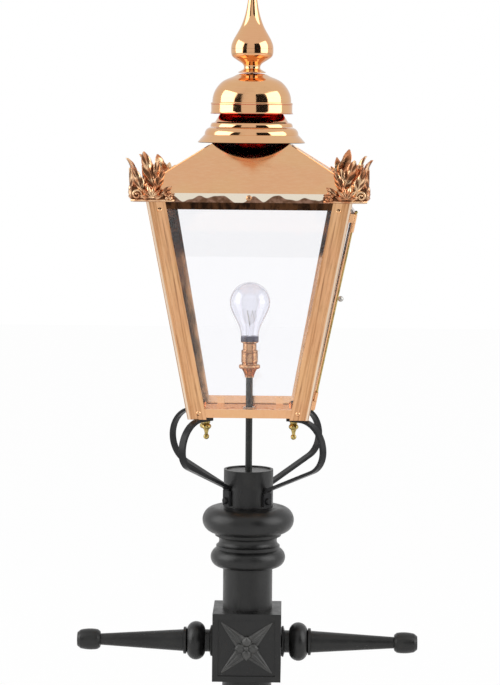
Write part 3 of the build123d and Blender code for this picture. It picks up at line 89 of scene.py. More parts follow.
# %% A finish
class Finish:
    """A material with one principled shader, and the few nodes that its pattern needs."""

    def __init__(self, name, **settings):
        self.material = bpy.data.materials.new(name)
        self.material.use_nodes = True
        self.tree = self.material.node_tree
        self.shader = self.tree.nodes["Principled BSDF"]
        self.place = self.add("TexCoord", output="Object")
        self.colour = None
        self.set(**settings)

    def add(self, kind, settings=None, inputs=None, output=0):
        """Any node: its settings first, then the values or links of its sockets."""
        node = self.tree.nodes.new("ShaderNode" + kind)
        for name, value in (settings or {}).items():
            if name == "stops":
                self.fill_ramp(node.color_ramp, value)
            else:
                setattr(node, name, value)
        for name, value in (inputs or {}).items():
            self.feed(node.inputs[name], value)
        return Value(self, node.outputs[output])

    def fill_ramp(self, ramp, stops):
        """Stops of a colour ramp as (position, colour) pairs."""
        while len(ramp.elements) < len(stops):
            ramp.elements.new(0.5)
        for element, (position, colour) in zip(ramp.elements, stops):
            element.position = position
            element.color = (*colour, 1)

    def feed(self, socket, value):
        """Link a value, or write a number or a colour on the socket."""
        if isinstance(value, Value):
            self.tree.links.new(value.socket, socket)
        elif socket.type == "RGBA":
            socket.default_value = (*value, 1)
        else:
            socket.default_value = value

    def set(self, **settings):
        """Sockets of the shader by name, with _ for a space."""
        for name, value in settings.items():
            self.feed(self.shader.inputs[name.replace("_", " ")], value)

    def noise(self, size, detail=3, roughness=0.5, stretch=(1, 1, 1), start=None):
        """Noise whose spots are about size across, 0 to 1, stretched along the axes."""
        place = self.add("Mapping", None, {"Vector": start or self.place, "Scale": stretch})
        sockets = {"Vector": place, "Scale": 1 / size, "Detail": detail, "Roughness": roughness}
        return self.add("TexNoise", None, sockets, "Fac")

    def between(self, value, low, high, new_low=0.0, new_high=1.0):
        """Smooth step of a value from low..high to new_low..new_high."""
        sockets = {"Value": value, "From Min": low, "From Max": high, "To Min": new_low, "To Max": new_high}
        return self.add("MapRange", {"interpolation_type": "SMOOTHSTEP"}, sockets, "Result")

    def mix(self, share, first, second):
        """Colour that goes from first to second as share goes from 0 to 1."""
        node = self.tree.nodes.new("ShaderNodeMix")
        node.data_type = "RGBA"
        self.feed(node.inputs["Factor"], share)
        self.feed(node.inputs[6], first)
        self.feed(node.inputs[7], second)
        return Value(self, node.outputs[2])

    def parts_of(self, vector):
        """The X, Y and Z of a vector."""
        return [self.add("SeparateXYZ", None, {"Vector": vector}, axis) for axis in "XYZ"]

    def attribute(self, name):
        """A number stored on the mesh."""
        return self.add("Attribute", {"attribute_name": name}, None, "Fac")

    def bump(self, height, distance, strength=1.0):
        """Relief of a height from 0 to 1 that stands distance metres proud."""
        normal = self.add("Bump", None, {"Height": height, "Distance": distance, "Strength": strength})
        self.set(Normal=normal)


# %% [markdown]
# ## Copper
# Lacquered sheet copper is the whole look of this lamp. It isn't one colour: rolled sheet has
# long faint streaks, hands leave dull smudges, and heat from the soldering iron turns it
# rosier here and there. The sheet is never quite flat either, so reflections swim a little.
# One recipe serves the rolled sheet, the roof, the posts, and spun work with its turning lines.

# %% Colours, and the recipe
COPPER_TAN = (0.87, 0.50, 0.25)
COPPER_ROSE = (0.88, 0.45, 0.24)
COPPER_PALE = (0.93, 0.61, 0.36)
COPPER_BROWN = (0.30, 0.13, 0.06)
# COPPER_CREAM serves the posts' painted highlight and the fascia's painted reflection.
COPPER_CREAM = (1.00, 0.90, 0.74)
# Colours of painted light on spun undersides: painted shade, a dark red painted reflection, an orange
# painted highlight.
UNDERSIDE_SHADE = (0.008, 0.006, 0.012)
UNDERSIDE_RED_REFLECTION = (0.60, 0.035, 0.030)
UNDERSIDE_ORANGE_HIGHLIGHT = (0.88, 0.36, 0.13)


def copper(name, streak, waviness, polish, worn=0.10):
    """Copper: streak stretches the grain, waviness is in metres, polish is the base roughness."""
    finish = Finish(name, Metallic=1.0)
    clouds = finish.noise(0.09, 2)
    grain = finish.noise(0.0022, 4, 0.6, streak)
    smudges = finish.between(finish.noise(0.022, 4, 0.6), 0.52, 0.74)
    specks = finish.between(finish.noise(0.0035, 2), 0.74, 0.80)
    rose = finish.mix(finish.between(clouds, 0.35, 0.65, 0.0, 0.6), COPPER_TAN, COPPER_ROSE)
    pale = finish.mix(finish.between(grain, 0.40, 0.72, 0.0, 0.30), rose, COPPER_PALE)
    finish.colour = finish.mix(specks * 0.3 + smudges * worn, pale, COPPER_BROWN)
    finish.set(Base_Color=finish.colour, Roughness=polish + smudges * 0.09 + grain * 0.05 + specks * 0.15)
    finish.bump(finish.noise(0.045, 1) + grain * 0.02, waviness)
    return finish


rolled_copper = copper("rolled_copper", (1, 1, 0.08), 0.00055, 0.07).material
roof_copper = copper("roof_copper", (0.2, 0.2, 1), 0.00018, 0.07, 0.04).material


# %% [markdown]
# ## Posts, fascia and frame
# The posts are folded from strip that was handled most, so brown streaks run down them. They
# lean in, and the streaks lean with them: |x| and |y| less the lean times the height stay the
# same along a post, so noise of those two draws lines that follow it. The lesser of the two
# grows towards the corner, where a cream strip is a painted highlight and the fold is dark. The
# fascia carries a painted reflection, cream above a wavy line and dark brown below it, and is
# smoother above the line. The frame under it is painted dark brown as painted shade under the
# fascia's overhang.

# %% Streaked copper, and copper with painted reflection and painted shade
POST_LEAN = 0.1854
fascia_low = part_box("eave_band")[0]
# Height of the wavy line in the fascia's painted reflection.
REFLECTION_LINE_Z = fascia_low[2] + 7 * MM


def post_copper():
    """Copper with brown and orange streaks that follow the leaning posts, a cream painted highlight near the
    corner, and a dark line at the fold.
    """
    finish = copper("post_copper", (1, 1, 0.08), 0.00055, 0.08)
    x, y, z = finish.parts_of(finish.place)
    u = x.math("ABSOLUTE", x, 0.0) - z * POST_LEAN
    v = y.math("ABSOLUTE", y, 0.0) - z * POST_LEAN
    along = finish.add("CombineXYZ", None, {"X": u, "Y": v, "Z": z * 0.03})
    broad = finish.between(finish.noise(0.008, 3, 0.55, start=along), 0.38, 0.66)
    fine = finish.between(finish.noise(0.0022, 3, 0.6, start=along), 0.48, 0.72)
    orange = finish.mix(broad * 0.85, finish.colour, (0.46, 0.20, 0.07))
    streaked = finish.mix(fine * 0.65, orange, COPPER_BROWN)
    edge = u.math("MINIMUM", u, v)
    # Painted highlight: a cream strip near each post's corner. The next line darkens the fold itself.
    edge_highlight = finish.mix(finish.between(edge, -0.0002, 0.0010, 0.0, 0.6), streaked, COPPER_CREAM)
    finish.set(Base_Color=finish.mix(finish.between(edge, 0.0030, 0.0036, 0.0, 0.75), edge_highlight, COPPER_BROWN))
    return finish.material


def fascia_copper():
    """Painted reflection: cream above a wavy line, dark brown below it. Noise of x and y makes the line
    wavy.
    """
    finish = Finish("fascia_copper", Metallic=1.0)
    x, y, z = finish.parts_of(finish.place)
    wave = finish.noise(0.030, 1, 0.4, (1, 1, 0))
    # Painted reflection: share of cream above the wavy line. The dark brown below it is painted reflection
    # too.
    cream_reflection = finish.between(z + wave * 0.036, REFLECTION_LINE_Z + 0.0165, REFLECTION_LINE_Z + 0.0180)
    cloud = finish.noise(0.008, 4, 0.6)
    dark_reflection = finish.mix(finish.between(cloud, 0.35, 0.65), (0.34, 0.19, 0.13), (0.16, 0.08, 0.045))
    finish.set(Base_Color=finish.mix(cream_reflection, dark_reflection, COPPER_CREAM),
               Roughness=0.16 - cream_reflection * 0.08 + cloud * 0.08)
    finish.bump(wave + cloud * 0.05, 0.0004)
    return finish.material


def frame_shade_copper():
    """Painted shade: copper painted dark brown, nearly black in places, for the frame in shade under the
    fascia.
    """
    finish = Finish("frame_shade_copper", Metallic=1.0)
    cloud = finish.noise(0.012, 4, 0.6, (1, 1, 0.5))
    tone = finish.between(cloud, 0.35, 0.65)
    finish.set(Base_Color=finish.mix(tone, (0.10, 0.042, 0.018), (0.02, 0.010, 0.006)),
               Roughness=0.2 + cloud * 0.15)
    finish.bump(cloud, 0.0003)
    return finish.material


streaked_copper = post_copper()
fascia_reflection_copper = fascia_copper()
painted_shade_frame_copper = frame_shade_copper()


# %% [markdown]
# ## Spun copper
# The skirt, the cone and the dome were spun on a lathe and polished. Their undersides carry
# painted light: painted shade under the skirt, a dark red painted reflection under the dome and in
# the cone, and an orange painted highlight under the finial. The polished roof below mirrors the
# skirt's painted shade as a crisp arc. A face takes the underside colour where it looks down, or
# inwards: there x nx + y ny is below zero.

# %% Spun copper with painted light on its underside
def spun_copper(name, underside_light_colour):
    """Copper with turning lines, and an underside in the colour of painted light that the caller gives."""
    finish = copper(name, (0.06, 0.06, 2.2), 0.00012, 0.05)
    x, y, z = finish.parts_of(finish.place)
    nx, ny, nz = finish.parts_of(finish.add("NewGeometry", output="Normal"))
    inwards = finish.between(x * nx + y * ny, -0.001, -0.003)
    down = finish.between(nz, -0.30, -0.45)
    # Painted light: faces that look down or inwards take the underside colour.
    painted_underside = inwards.math("MAXIMUM", inwards, down)
    finish.set(Base_Color=finish.mix(painted_underside, finish.colour, underside_light_colour))
    return finish.material


skirt_copper = spun_copper("skirt_copper", UNDERSIDE_SHADE)
dome_copper = spun_copper("dome_copper", UNDERSIDE_RED_REFLECTION)
finial_copper = spun_copper("finial_copper", UNDERSIDE_ORANGE_HIGHLIGHT)


# %% Castings, darker in their hollows
def cast_copper():
    """Cast leaf work: bright ridges, and dark brown in the hollows and on the backing plate, partly lacquer
    left in the hollows and partly painted shade.
    """
    finish = Finish("cast_copper", Metallic=1.0)
    hollow = finish.attribute("hollow")
    clouds = finish.noise(0.016, 3)
    grain = finish.noise(0.0012, 3, 0.6)
    ridge = finish.mix(finish.between(clouds, 0.40, 0.60), COPPER_PALE, (0.60, 0.24, 0.11))
    shade = finish.between(hollow + clouds * 0.45, 0.30, 0.80)
    finish.set(Base_Color=finish.mix(shade, ridge, (0.16, 0.07, 0.035)),
               Roughness=0.12 + shade * 0.3 + grain * 0.08)
    finish.bump(grain * 0.5 + clouds, 0.0004)
    return finish.material


leaf_copper = cast_copper()


# %% [markdown]
# ## Brass
# The drops under the tray and the hinge pin are turned brass, yellower and a touch greener
# than the copper, with fine turning lines and some tarnish. The lampholder is a browner brass.

# %% Turned brass
def turned_brass(name, bright, tarnished):
    """Brass with turning lines stacked along Z and patches of tarnish."""
    finish = Finish(name, Metallic=1.0)
    lines = finish.noise(0.0008, 3, 0.6, (0.15, 0.15, 1))
    tarnish = finish.between(finish.noise(0.006, 4, 0.6), 0.42, 0.70)
    finish.set(Base_Color=finish.mix(tarnish * 0.8, bright, tarnished),
               Roughness=0.12 + tarnish * 0.22 + lines * 0.08)
    finish.bump(lines, 0.00008)
    return finish.material


olive_brass = turned_brass("olive_brass", (0.60, 0.44, 0.16), (0.24, 0.20, 0.06))
holder_brass = turned_brass("holder_brass", (0.56, 0.31, 0.16), (0.20, 0.085, 0.055))


# %% [markdown]
# ## Iron
# The post head is sand cast and painted satin black: broad soft highlights over a pebbly
# skin, dust in the low places, and the odd rubbed patch that is a little greyer. The bracket
# is bent from rolled bar, which is smoother under the same paint, and so is the pipe. The star
# and rosette are painted a lighter grey than the panel round them.

# %% Painted castings and bars
def black_paint(name, pebble, height, colour, dusty, shine=0.5):
    """Black paint over iron: pebble is the size of the sand's grain, height its relief."""
    finish = Finish(name, Coat_Roughness=0.35, Specular_IOR_Level=shine)
    sand = finish.noise(pebble, 3, 0.55)
    patches = finish.between(finish.noise(0.03, 4, 0.6), 0.42, 0.72)
    scuffs = finish.between(finish.noise(0.009, 5, 0.7), 0.66, 0.78)
    worn = finish.mix(patches, colour, dusty)
    finish.set(Base_Color=finish.mix(scuffs * 0.15, worn, (0.12, 0.115, 0.11)),
               Roughness=0.25 + patches * 0.12 + sand * 0.08 + scuffs * 0.1,
               Coat_Weight=0.12 - patches * 0.08)
    finish.bump(sand + scuffs * 0.2, height)
    return finish.material


cast_iron = black_paint("cast_iron", 0.0016, 0.00035, (0.005, 0.005, 0.005), (0.014, 0.014, 0.013), 0.45)
# Star and rosette: the same black paint, a lighter grey.
star_grey_iron = black_paint("star_grey_iron", 0.0016, 0.0003, (0.035, 0.035, 0.033), (0.075, 0.074, 0.070), 0.6)
bar_iron = black_paint("bar_iron", 0.0030, 0.00012, (0.006, 0.006, 0.007), (0.012, 0.012, 0.013), 0.2)
pipe_paint = black_paint("pipe_paint", 0.0040, 0.00008, (0.012, 0.014, 0.013), (0.020, 0.023, 0.021), 0.35)


# %% Plain steel, moulded insulator and dark enamel
def plain_steel():
    """Zinc plated steel, slightly cloudy."""
    finish = Finish("plain_steel", Metallic=1.0)
    clouds = finish.noise(0.004, 4, 0.6)
    finish.set(Base_Color=finish.mix(clouds, (0.62, 0.60, 0.56), (0.42, 0.41, 0.39)),
               Roughness=0.25 + clouds * 0.25)
    finish.bump(clouds, 0.00006)
    return finish.material


def ceramic():
    """Pale glazed insulator with a faint mottle."""
    finish = Finish("insulator")
    mottle = finish.noise(0.003, 3)
    finish.set(Base_Color=finish.mix(mottle, (0.80, 0.77, 0.70), (0.70, 0.66, 0.58)),
               Roughness=0.3 + mottle * 0.2)
    finish.bump(mottle, 0.00005)
    return finish.material


def dark_neck_band():
    """Blue-black band round the bulb's neck: partly the cement there and partly a painted reflection of the
    dark glass neck.
    """
    finish = Finish("dark_neck_band")
    cloud = finish.noise(0.003, 3)
    finish.set(Base_Color=finish.mix(cloud, (0.012, 0.010, 0.045), (0.05, 0.04, 0.10)),
               Roughness=0.2 + cloud * 0.2)
    finish.bump(cloud, 0.00004)
    return finish.material


steel = plain_steel()
insulator = ceramic()
neck_band_finish = dark_neck_band()


# %% [markdown]
# ## Glass
# The panes are clear with a faint cool tint and a few wipe marks. A pane that stops lamp
# light would leave the lantern dark inside, so for shadow rays alone the finish is mixed
# with a transparent shader. The bulb uses the same recipe, a little greyer.

# %% Clear glass that lets lamp light through
def clear_glass(name, tint, wipe):
    """Glass: tint is its colour, wipe the size of the wipe marks."""
    finish = Finish(name, Transmission_Weight=1.0, IOR=1.47, Base_Color=tint)
    marks = finish.between(finish.noise(wipe, 4, 0.6, (1, 1, 0.4)), 0.55, 0.8)
    finish.set(Roughness=marks * 0.05)
    finish.bump(finish.noise(wipe * 2, 1), 0.00004)
    shadow = finish.add("LightPath", output="Is Shadow Ray")
    clear = finish.add("BsdfTransparent", None, {"Color": tint})
    glass = Value(finish, finish.shader.outputs[0])
    both = finish.add("MixShader", None, {0: shadow, 1: glass, 2: clear})
    finish.feed(finish.tree.nodes["Material Output"].inputs["Surface"], both)
    return finish.material


pane_glass = clear_glass("pane_glass", (0.985, 0.985, 0.997), 0.03)
bulb_glass = clear_glass("bulb_glass", (0.93, 0.93, 0.97), 0.012)


# %% [markdown]
# ## Finishes for the frame's own pieces
# Every piece of the frame keeps its shape, and takes a finish by having it assigned to its
# material slots. The table goes from finish to the names of the pieces that wear it.

# %% Give the pieces their finishes
WEARS = {
    rolled_copper: ["base_tray", "glass_clips", "post_rivets", "door_frame", "door_clips", "door_knuckles",
                    "post_knuckles", "door_catch"],
    streaked_copper: ["corner_post_"],
    fascia_reflection_copper: ["eave_band"],
    painted_shade_frame_copper: ["top_frame"],
    roof_copper: ["roof_shell"],
    skirt_copper: ["vent_skirt"],
    dome_copper: ["vent_cone", "vent_dome"],
    finial_copper: ["finial_lower", "finial_upper"],
    leaf_copper: ["corner_crest_"],
    olive_brass: ["drop_finials", "hinge_pin"],
    holder_brass: ["holder_", "bulb_cap", "eave_screws", "leg_stud_nuts"],
    cast_iron: ["post_capital", "ladder_", "frog_collar"],
    bar_iron: ["frog_leg", "leg_bolts", "leg_washers", "leg_studs"],
    pipe_paint: ["lamp_pipe"],
    steel: ["post_grub_screws", "door_knob", "dome_s", "finial_stud", "finial_nuts", "pipe_nuts",
            "bulb_filament"],
    insulator: ["holder_insulator"],
    pane_glass: ["glass_rear", "glass_left", "glass_front", "door_glass"],
    bulb_glass: ["bulb_glass"],
}


def wear(piece, material):
    """Put one finish on every material slot of a piece."""
    if not piece.material_slots:
        piece.data.materials.append(material)
    for place in piece.material_slots:
        place.material = material


for material, starts in WEARS.items():
    for name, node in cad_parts.items():
        if name.startswith(tuple(starts)):
            wear(node, material)


# %% [markdown]
# ## Surfaces from arrays
# New pieces are grids of points worked out as whole arrays: rows run along the piece and
# columns run round it. One function turns such grids into a closed mesh. Columns join up
# into rings, and each end closes on one extra point, a pole.

# %% From grids of points to a piece
def tube_faces(rows, columns, start):
    """Quads between neighbouring rings, and triangles from the end rings to the two poles."""
    ring = np.arange(columns)
    after = (ring + 1) % columns
    low = start + np.arange(rows - 1)[:, None] * columns
    quads = np.stack([low + ring, low + after, low + columns + after, low + columns + ring], axis=-1)
    foot = start + rows * columns
    last = start + (rows - 1) * columns
    foot_fan = np.stack([np.full(columns, foot), start + after, start + ring], axis=-1)
    head_fan = np.stack([np.full(columns, foot + 1), last + ring, last + after], axis=-1)
    return quads.reshape(-1, 4).tolist() + foot_fan.tolist() + head_fan.tolist()


def piece_from(name, tubes, material, stands_for=(), body="root"):
    """A smooth piece of several closed tubes, each a grid of points with an optional hollow value."""
    points, hollows, faces = [], [], []
    start = 0
    for grid, hollow in tubes:
        rows, columns = grid.shape[:2]
        poles = np.stack([grid[0].mean(axis=0), grid[-1].mean(axis=0)])
        points += [grid.reshape(-1, 3), poles]
        hollows += [np.broadcast_to(hollow, (rows, columns)).ravel(), [0, 0]]
        faces += tube_faces(rows, columns, start)
        start += rows * columns + 2
    mesh = bpy.data.meshes.new(name)
    mesh.from_pydata(np.concatenate(points).tolist(), [], faces)
    mesh.polygons.foreach_set("use_smooth", np.ones(len(faces), bool))
    shade = mesh.attributes.new("hollow", "FLOAT", "POINT")
    shade.data.foreach_set("value", np.concatenate(hollows).astype(np.float32))
    piece = bpy.data.objects.new(name, mesh)
    bpy.context.scene.collection.objects.link(piece)
    wear(piece, material)
    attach(piece, body)
    if stands_for:
        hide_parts(*stands_for)
    print(name, "faces", len(faces))


# %% Frames along a path
def unit(vectors):
    """Vectors divided by their lengths."""
    return vectors / np.linalg.norm(vectors, axis=-1, keepdims=True)


def sweep_round(path, radius, columns=12):
    """Round bar: a circle carried square to a path of points."""
    path = np.asarray(path, float)
    ahead = unit(np.gradient(path, axis=0))
    lift = np.array([0.31, 0.17, 0.93])
    side = unit(np.cross(ahead, lift))
    up = np.cross(side, ahead)
    angle = np.arange(columns) * TAU / columns
    radius = np.broadcast_to(radius, len(path))[:, None, None]
    ring = np.cos(angle)[:, None] * side[:, None] + np.sin(angle)[:, None] * up[:, None]
    return path[:, None] + radius * ring


# %% [markdown]
# ## A cast leaf
# The eave corners and the post head carry acanthus leaves. Such a leaf could be sculpted, but
# it has a rule: a lens shaped section shrinks and swells along a bent midrib, its edge is
# scalloped into lobes, and a groove runs from each notch back to the midrib. So one function
# of two parameters makes them all: the share along the midrib, and the angle round the section.

# %% The leaf
def leaf(foot, tip, facing, width, bow=0.0, curl=0.0, lobes=4, thick=0.0022, rows=36, columns=28):
    """Closed leaf. Midrib: straight line from foot to tip, plus bow outwards as sin(pi s), plus
    curl outwards as s cubed. Half width: width times (sin(pi s^0.8))^0.7 times a scallop.
    Relief: lens thickness plus grooves that follow s minus 0.3 of the share across."""
    foot, tip, facing = (np.asarray(v, float) for v in (foot, tip, facing))
    s = np.linspace(0.0, 1.0, rows)[:, None]
    angle = np.arange(columns) * TAU / columns
    along = unit(tip - foot)
    out = unit(facing - along * (facing @ along))
    side = np.cross(along, out)
    midrib = foot + (tip - foot) * s + out * (bow * np.sin(np.pi * s) + curl * s ** 3)
    across = np.cos(angle)
    scallop = 0.84 + 0.16 * np.abs(np.sin(np.pi * lobes * s ** 0.9))
    half = width * np.clip(np.sin(np.pi * (0.06 + 0.92 * s) ** 0.8), 0, 1) ** 0.7 * scallop
    groove = 0.5 + 0.5 * np.cos(TAU * lobes * (s ** 0.9 - 0.30 * np.abs(across)))
    rib = np.exp(-((across / 0.16) ** 2))
    fade = np.sin(np.pi * np.clip(s, 0.03, 0.97))
    front = np.clip(np.sin(angle), 0, 1)
    relief = thick * np.sin(angle) + front * fade * width * (0.12 * rib - 0.12 * groove * (1 - rib))
    cup = -0.30 * half * across ** 2
    x = (half * across)[..., None]
    z = (relief + cup)[..., None]
    # The grooves' darkness. The leaf finish paints it partly as lacquer in the hollows and partly as painted
    # shade.
    hollow = front * groove * (1 - rib)
    return midrib[:, None] + side * x + out * z, hollow


# %% [markdown]
# ## The corner crests
# Each eave corner carries a casting that wraps round it: along both faces of the fascia run a
# beaded foot, a scroll, a ribbed shell and a small flower, and above them a bunch of leaves
# stands up, tallest a little way along. One wing is worked out flat, as a along the eave from the
# corner, b up from the foot and c outwards, and then laid on both faces of all four corners.

# %% Where a crest is
lowest, highest = (np.array(corner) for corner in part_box("corner_crest_rear_right"))
CREST_SHEET = 3 * MM
CREST_FOOT = lowest[2]
CREST_TOP = highest[2]
WALL = highest[0] - CREST_SHEET
CREST_LENGTH = highest[0] - lowest[0]
CREST_RISE = CREST_TOP - CREST_FOOT
print("crest", CREST_LENGTH, "long and", CREST_RISE, "high")


def wing_point(face, a, b, c):
    """Point of the rear right corner's wing: face 0 is the right side, face 1 the rear."""
    across = highest[0] - a
    outwards = WALL + c
    return np.array((outwards, across, CREST_FOOT + b) if face == 0 else (across, outwards, CREST_FOOT + b))


def wing_facing(face, lean=0.0):
    """Outward direction of a wing, leaning away from the corner."""
    return np.array((1.0, -lean, 0.0) if face == 0 else (-lean, 1.0, 0.0))


# %% Parts of one wing
SHELL_A = 0.46 * CREST_LENGTH
SHELL_B = 6 * MM
SHELL_R = 0.34 * CREST_LENGTH
FLOWER_A = 0.85 * CREST_LENGTH
FLOWER_B = 10 * MM
FLOWER_R = 0.135 * CREST_LENGTH
SCROLL_A = 0.14 * CREST_LENGTH


def wing_leaf(face, foot, tip, width, **shape):
    """Leaf between two (a, b, c) places of a wing, given in millimetres."""
    lean = shape.pop("lean", 0.0)
    ends = [wing_point(face, *(np.array(place) * MM)) for place in (foot, tip)]
    return leaf(*ends, wing_facing(face, lean), width * MM, **shape)


def shell(face):
    """Ribbed shell: six petals that fan out from one point, longest in the middle."""
    angles = np.radians(np.linspace(12, 168, 6))
    petals = []
    for angle in angles:
        length = SHELL_R * (0.72 + 0.28 * np.sin(angle))
        foot = wing_point(face, SHELL_A, SHELL_B, 2 * MM)
        tip = wing_point(face, SHELL_A + np.cos(angle) * length, SHELL_B + np.sin(angle) * length, 2.5 * MM)
        petals.append(leaf(foot, tip, wing_facing(face), 4.6 * MM, bow=2.6 * MM, lobes=1,
                           thick=0.0030, rows=16, columns=16))
    return petals


def ball(centre, radius, rows=14, columns=20):
    """Sphere: rings of radius r sin t at height r cos t."""
    t = np.linspace(0.02, np.pi - 0.02, rows)[:, None]
    angle = np.arange(columns) * TAU / columns
    grid = np.stack([np.sin(t) * np.cos(angle), np.sin(t) * np.sin(angle), -np.cos(t) + 0 * angle], axis=-1)
    return centre + radius * grid, 0.0


def flower(face):
    """Five petals round a boss."""
    centre = wing_point(face, FLOWER_A, FLOWER_B, 1.5 * MM)
    petals = [ball(wing_point(face, FLOWER_A, FLOWER_B, 3.2 * MM), 2.6 * MM)]
    for angle in np.arange(5) * TAU / 5 + 0.3:
        tip = wing_point(face, FLOWER_A + np.cos(angle) * FLOWER_R,
                         FLOWER_B + np.sin(angle) * FLOWER_R, 2 * MM)
        petals.append(leaf(centre, tip, wing_facing(face), 3.4 * MM, bow=1.8 * MM, lobes=1,
                           thick=0.0018, rows=14, columns=14))
    return petals


def scroll(face):
    """C scroll: a bar wound in a spiral whose radius shrinks with the angle."""
    t = np.linspace(0, 1, 48)
    angle = -0.6 + t * 1.45 * TAU
    radius = 8.2 * MM * (1 - 0.78 * t)
    a = SCROLL_A + radius * np.cos(angle)
    b = 11 * MM + radius * np.sin(angle)
    path = np.array([wing_point(face, *place) for place in zip(a, b, np.full(48, 3 * MM))])
    return [(sweep_round(path, 2.0 * MM * (1 - 0.45 * t)), 0.0), ball(path[-1], 2.1 * MM)]


def bar(face, a_low, a_high, b, radius):
    """Straight round bar along a wing."""
    path = np.linspace(wing_point(face, a_low, b, 1.5 * MM), wing_point(face, a_high, b, 1.5 * MM), 6)
    return sweep_round(path, radius), 0.0


def backing(face):
    """Plate behind the ornament: a box with softened edges, as a four sided tube."""
    a = np.array([0.5 * MM, 1.5 * MM, CREST_LENGTH - 4 * MM, CREST_LENGTH - 1 * MM])
    top = np.array([23, 24, 11, 9]) * MM
    foot = np.full(4, 0.6 * MM)
    inner, outer = 0.2 * MM, 2.0 * MM
    corners = [(foot, inner), (foot, outer), (top, outer), (top, inner)]
    rings = [[wing_point(face, a[k], edge[k], c) for edge, c in corners] for k in range(4)]
    # 0.75 darkens the plate behind the ornament: painted shade.
    return np.array(rings), 0.75


# %% Two crests, and their turned copies
def crest(heights):
    """All tubes of a crest at the rear right. heights: of its tallest leaf on each face, in mm."""
    tubes = []
    for face, height in enumerate(heights):
        tubes += [backing(face), bar(face, 0.5 * MM, CREST_LENGTH - 2 * MM, 2.4 * MM, 1.9 * MM)]
        tubes += scroll(face) + shell(face) + flower(face)
        tubes += [
            wing_leaf(face, (36, 24, 1), (19, height, 1), 11.0, bow=-2 * MM, curl=9 * MM, lobes=3, lean=0.1),
            wing_leaf(face, (38, 22, 0), (40, height - 13, 0), 8.0, bow=-1 * MM, curl=5 * MM,
                      lobes=3, lean=0.2),
            wing_leaf(face, (38, 18, 1), (50, 49, 1), 7.5, bow=1 * MM, curl=3 * MM, lobes=3, lean=0.3),
            wing_leaf(face, (19, 12, 1), (5, 52, 0), 8.5, bow=2 * MM, curl=4 * MM, lobes=3, lean=-0.2),
            wing_leaf(face, (44, 10, 1), (63, 24, 1), 5.5, bow=1 * MM, curl=2 * MM, lobes=2),
        ]
    return tubes


def turned_tubes(tubes, quarter_turns):
    """Tubes turned about Z by quarter turns."""
    angle = quarter_turns * TAU / 4
    turn = np.array([[np.cos(angle), -np.sin(angle), 0], [np.sin(angle), np.cos(angle), 0], [0, 0, 1]])
    return [(grid @ turn.T, hollow) for grid, hollow in tubes]


CORNERS = {"rear_right": 0, "rear_left": 1, "front_left": 2, "front_right": 3}
tall_crest = crest((66, 77))
low_crest = crest((66, 66))
for name, quarter_turns in CORNERS.items():
    one_crest = low_crest if quarter_turns % 2 else tall_crest
    piece_from(f"crest_casting_{name}", turned_tubes(one_crest, quarter_turns), leaf_copper,
               stands_for=[f"corner_crest_{name}"])


# %% [markdown]
# ## Solder beads
# The roof is four sheets soldered along the hips. Each seam is a thin round bar, half sunk in
# the sheet.

# %% Hip beads
roof_low, roof_high = (np.array(corner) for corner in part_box("roof_shell"))
skirt_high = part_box("vent_skirt")[1]
BEAD_R = 0.7 * MM
ROOF_HALF = roof_high[0]
ROOF_TOP_HALF = 50 * MM
ROOF_SLOPE = (roof_high[2] - roof_low[2] - 1 * MM) / (ROOF_HALF - ROOF_TOP_HALF)
EAVE_Z = roof_high[2] - (ROOF_HALF - ROOF_TOP_HALF) * ROOF_SLOPE
print("roof slope", ROOF_SLOPE, "eave height", EAVE_Z)
hip_inner = skirt_high[0] / np.sqrt(2) + 4 * MM
hips = []
for sx, sy in ((1, 1), (-1, 1), (-1, -1), (1, -1)):
    half = np.linspace(ROOF_HALF - 1 * MM, hip_inner, 12)
    path = np.stack([sx * half, sy * half, EAVE_Z + (ROOF_HALF - half) * ROOF_SLOPE - 0.2 * MM], axis=-1)
    hips.append((sweep_round(path, BEAD_R), 0.0))
piece_from("hip_beads", hips, roof_copper)

# %% [markdown]
# ## The knurled ring
# The ring that clamps the lampholder is knurled so that fingers can turn it. Knurling is a
# fine wave round the rim, so the radius of each ring of points is a cosine of the angle.

# %% Knurled clamping ring
ring_low, ring_high = (np.array(corner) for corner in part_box("holder_ring"))
RING_R = ring_high[0]
RING_BORE = 12.7 * MM
KNURLS = 44
section_r = np.array([RING_BORE, RING_R - 1.2 * MM, RING_R, RING_R, RING_R - 1.2 * MM, RING_BORE])
section_z = np.array([0, 0, 0.18, 0.82, 1, 1]) * (ring_high[2] - ring_low[2]) + ring_low[2]
bite = np.array([0, 0.2, 1, 1, 0.2, 0]) * 0.45 * MM
turn = np.arange(KNURLS * 6) * TAU / (KNURLS * 6)
radius = section_r[:, None] - bite[:, None] * (0.5 + 0.5 * np.cos(KNURLS * turn))
rim = np.stack([radius * np.cos(turn), radius * np.sin(turn), section_z[:, None] + 0 * turn], axis=-1)
piece_from("knurled_ring", [(rim, 0.0)], holder_brass, stands_for=["holder_ring"])

# %% [markdown]
# ## Inside the bulb
# A clear lamp shows its works: a flared glass stem, two stiff lead wires, and a long thin
# filament that zigzags between them and a ring of fine hooks. All are bars along paths.

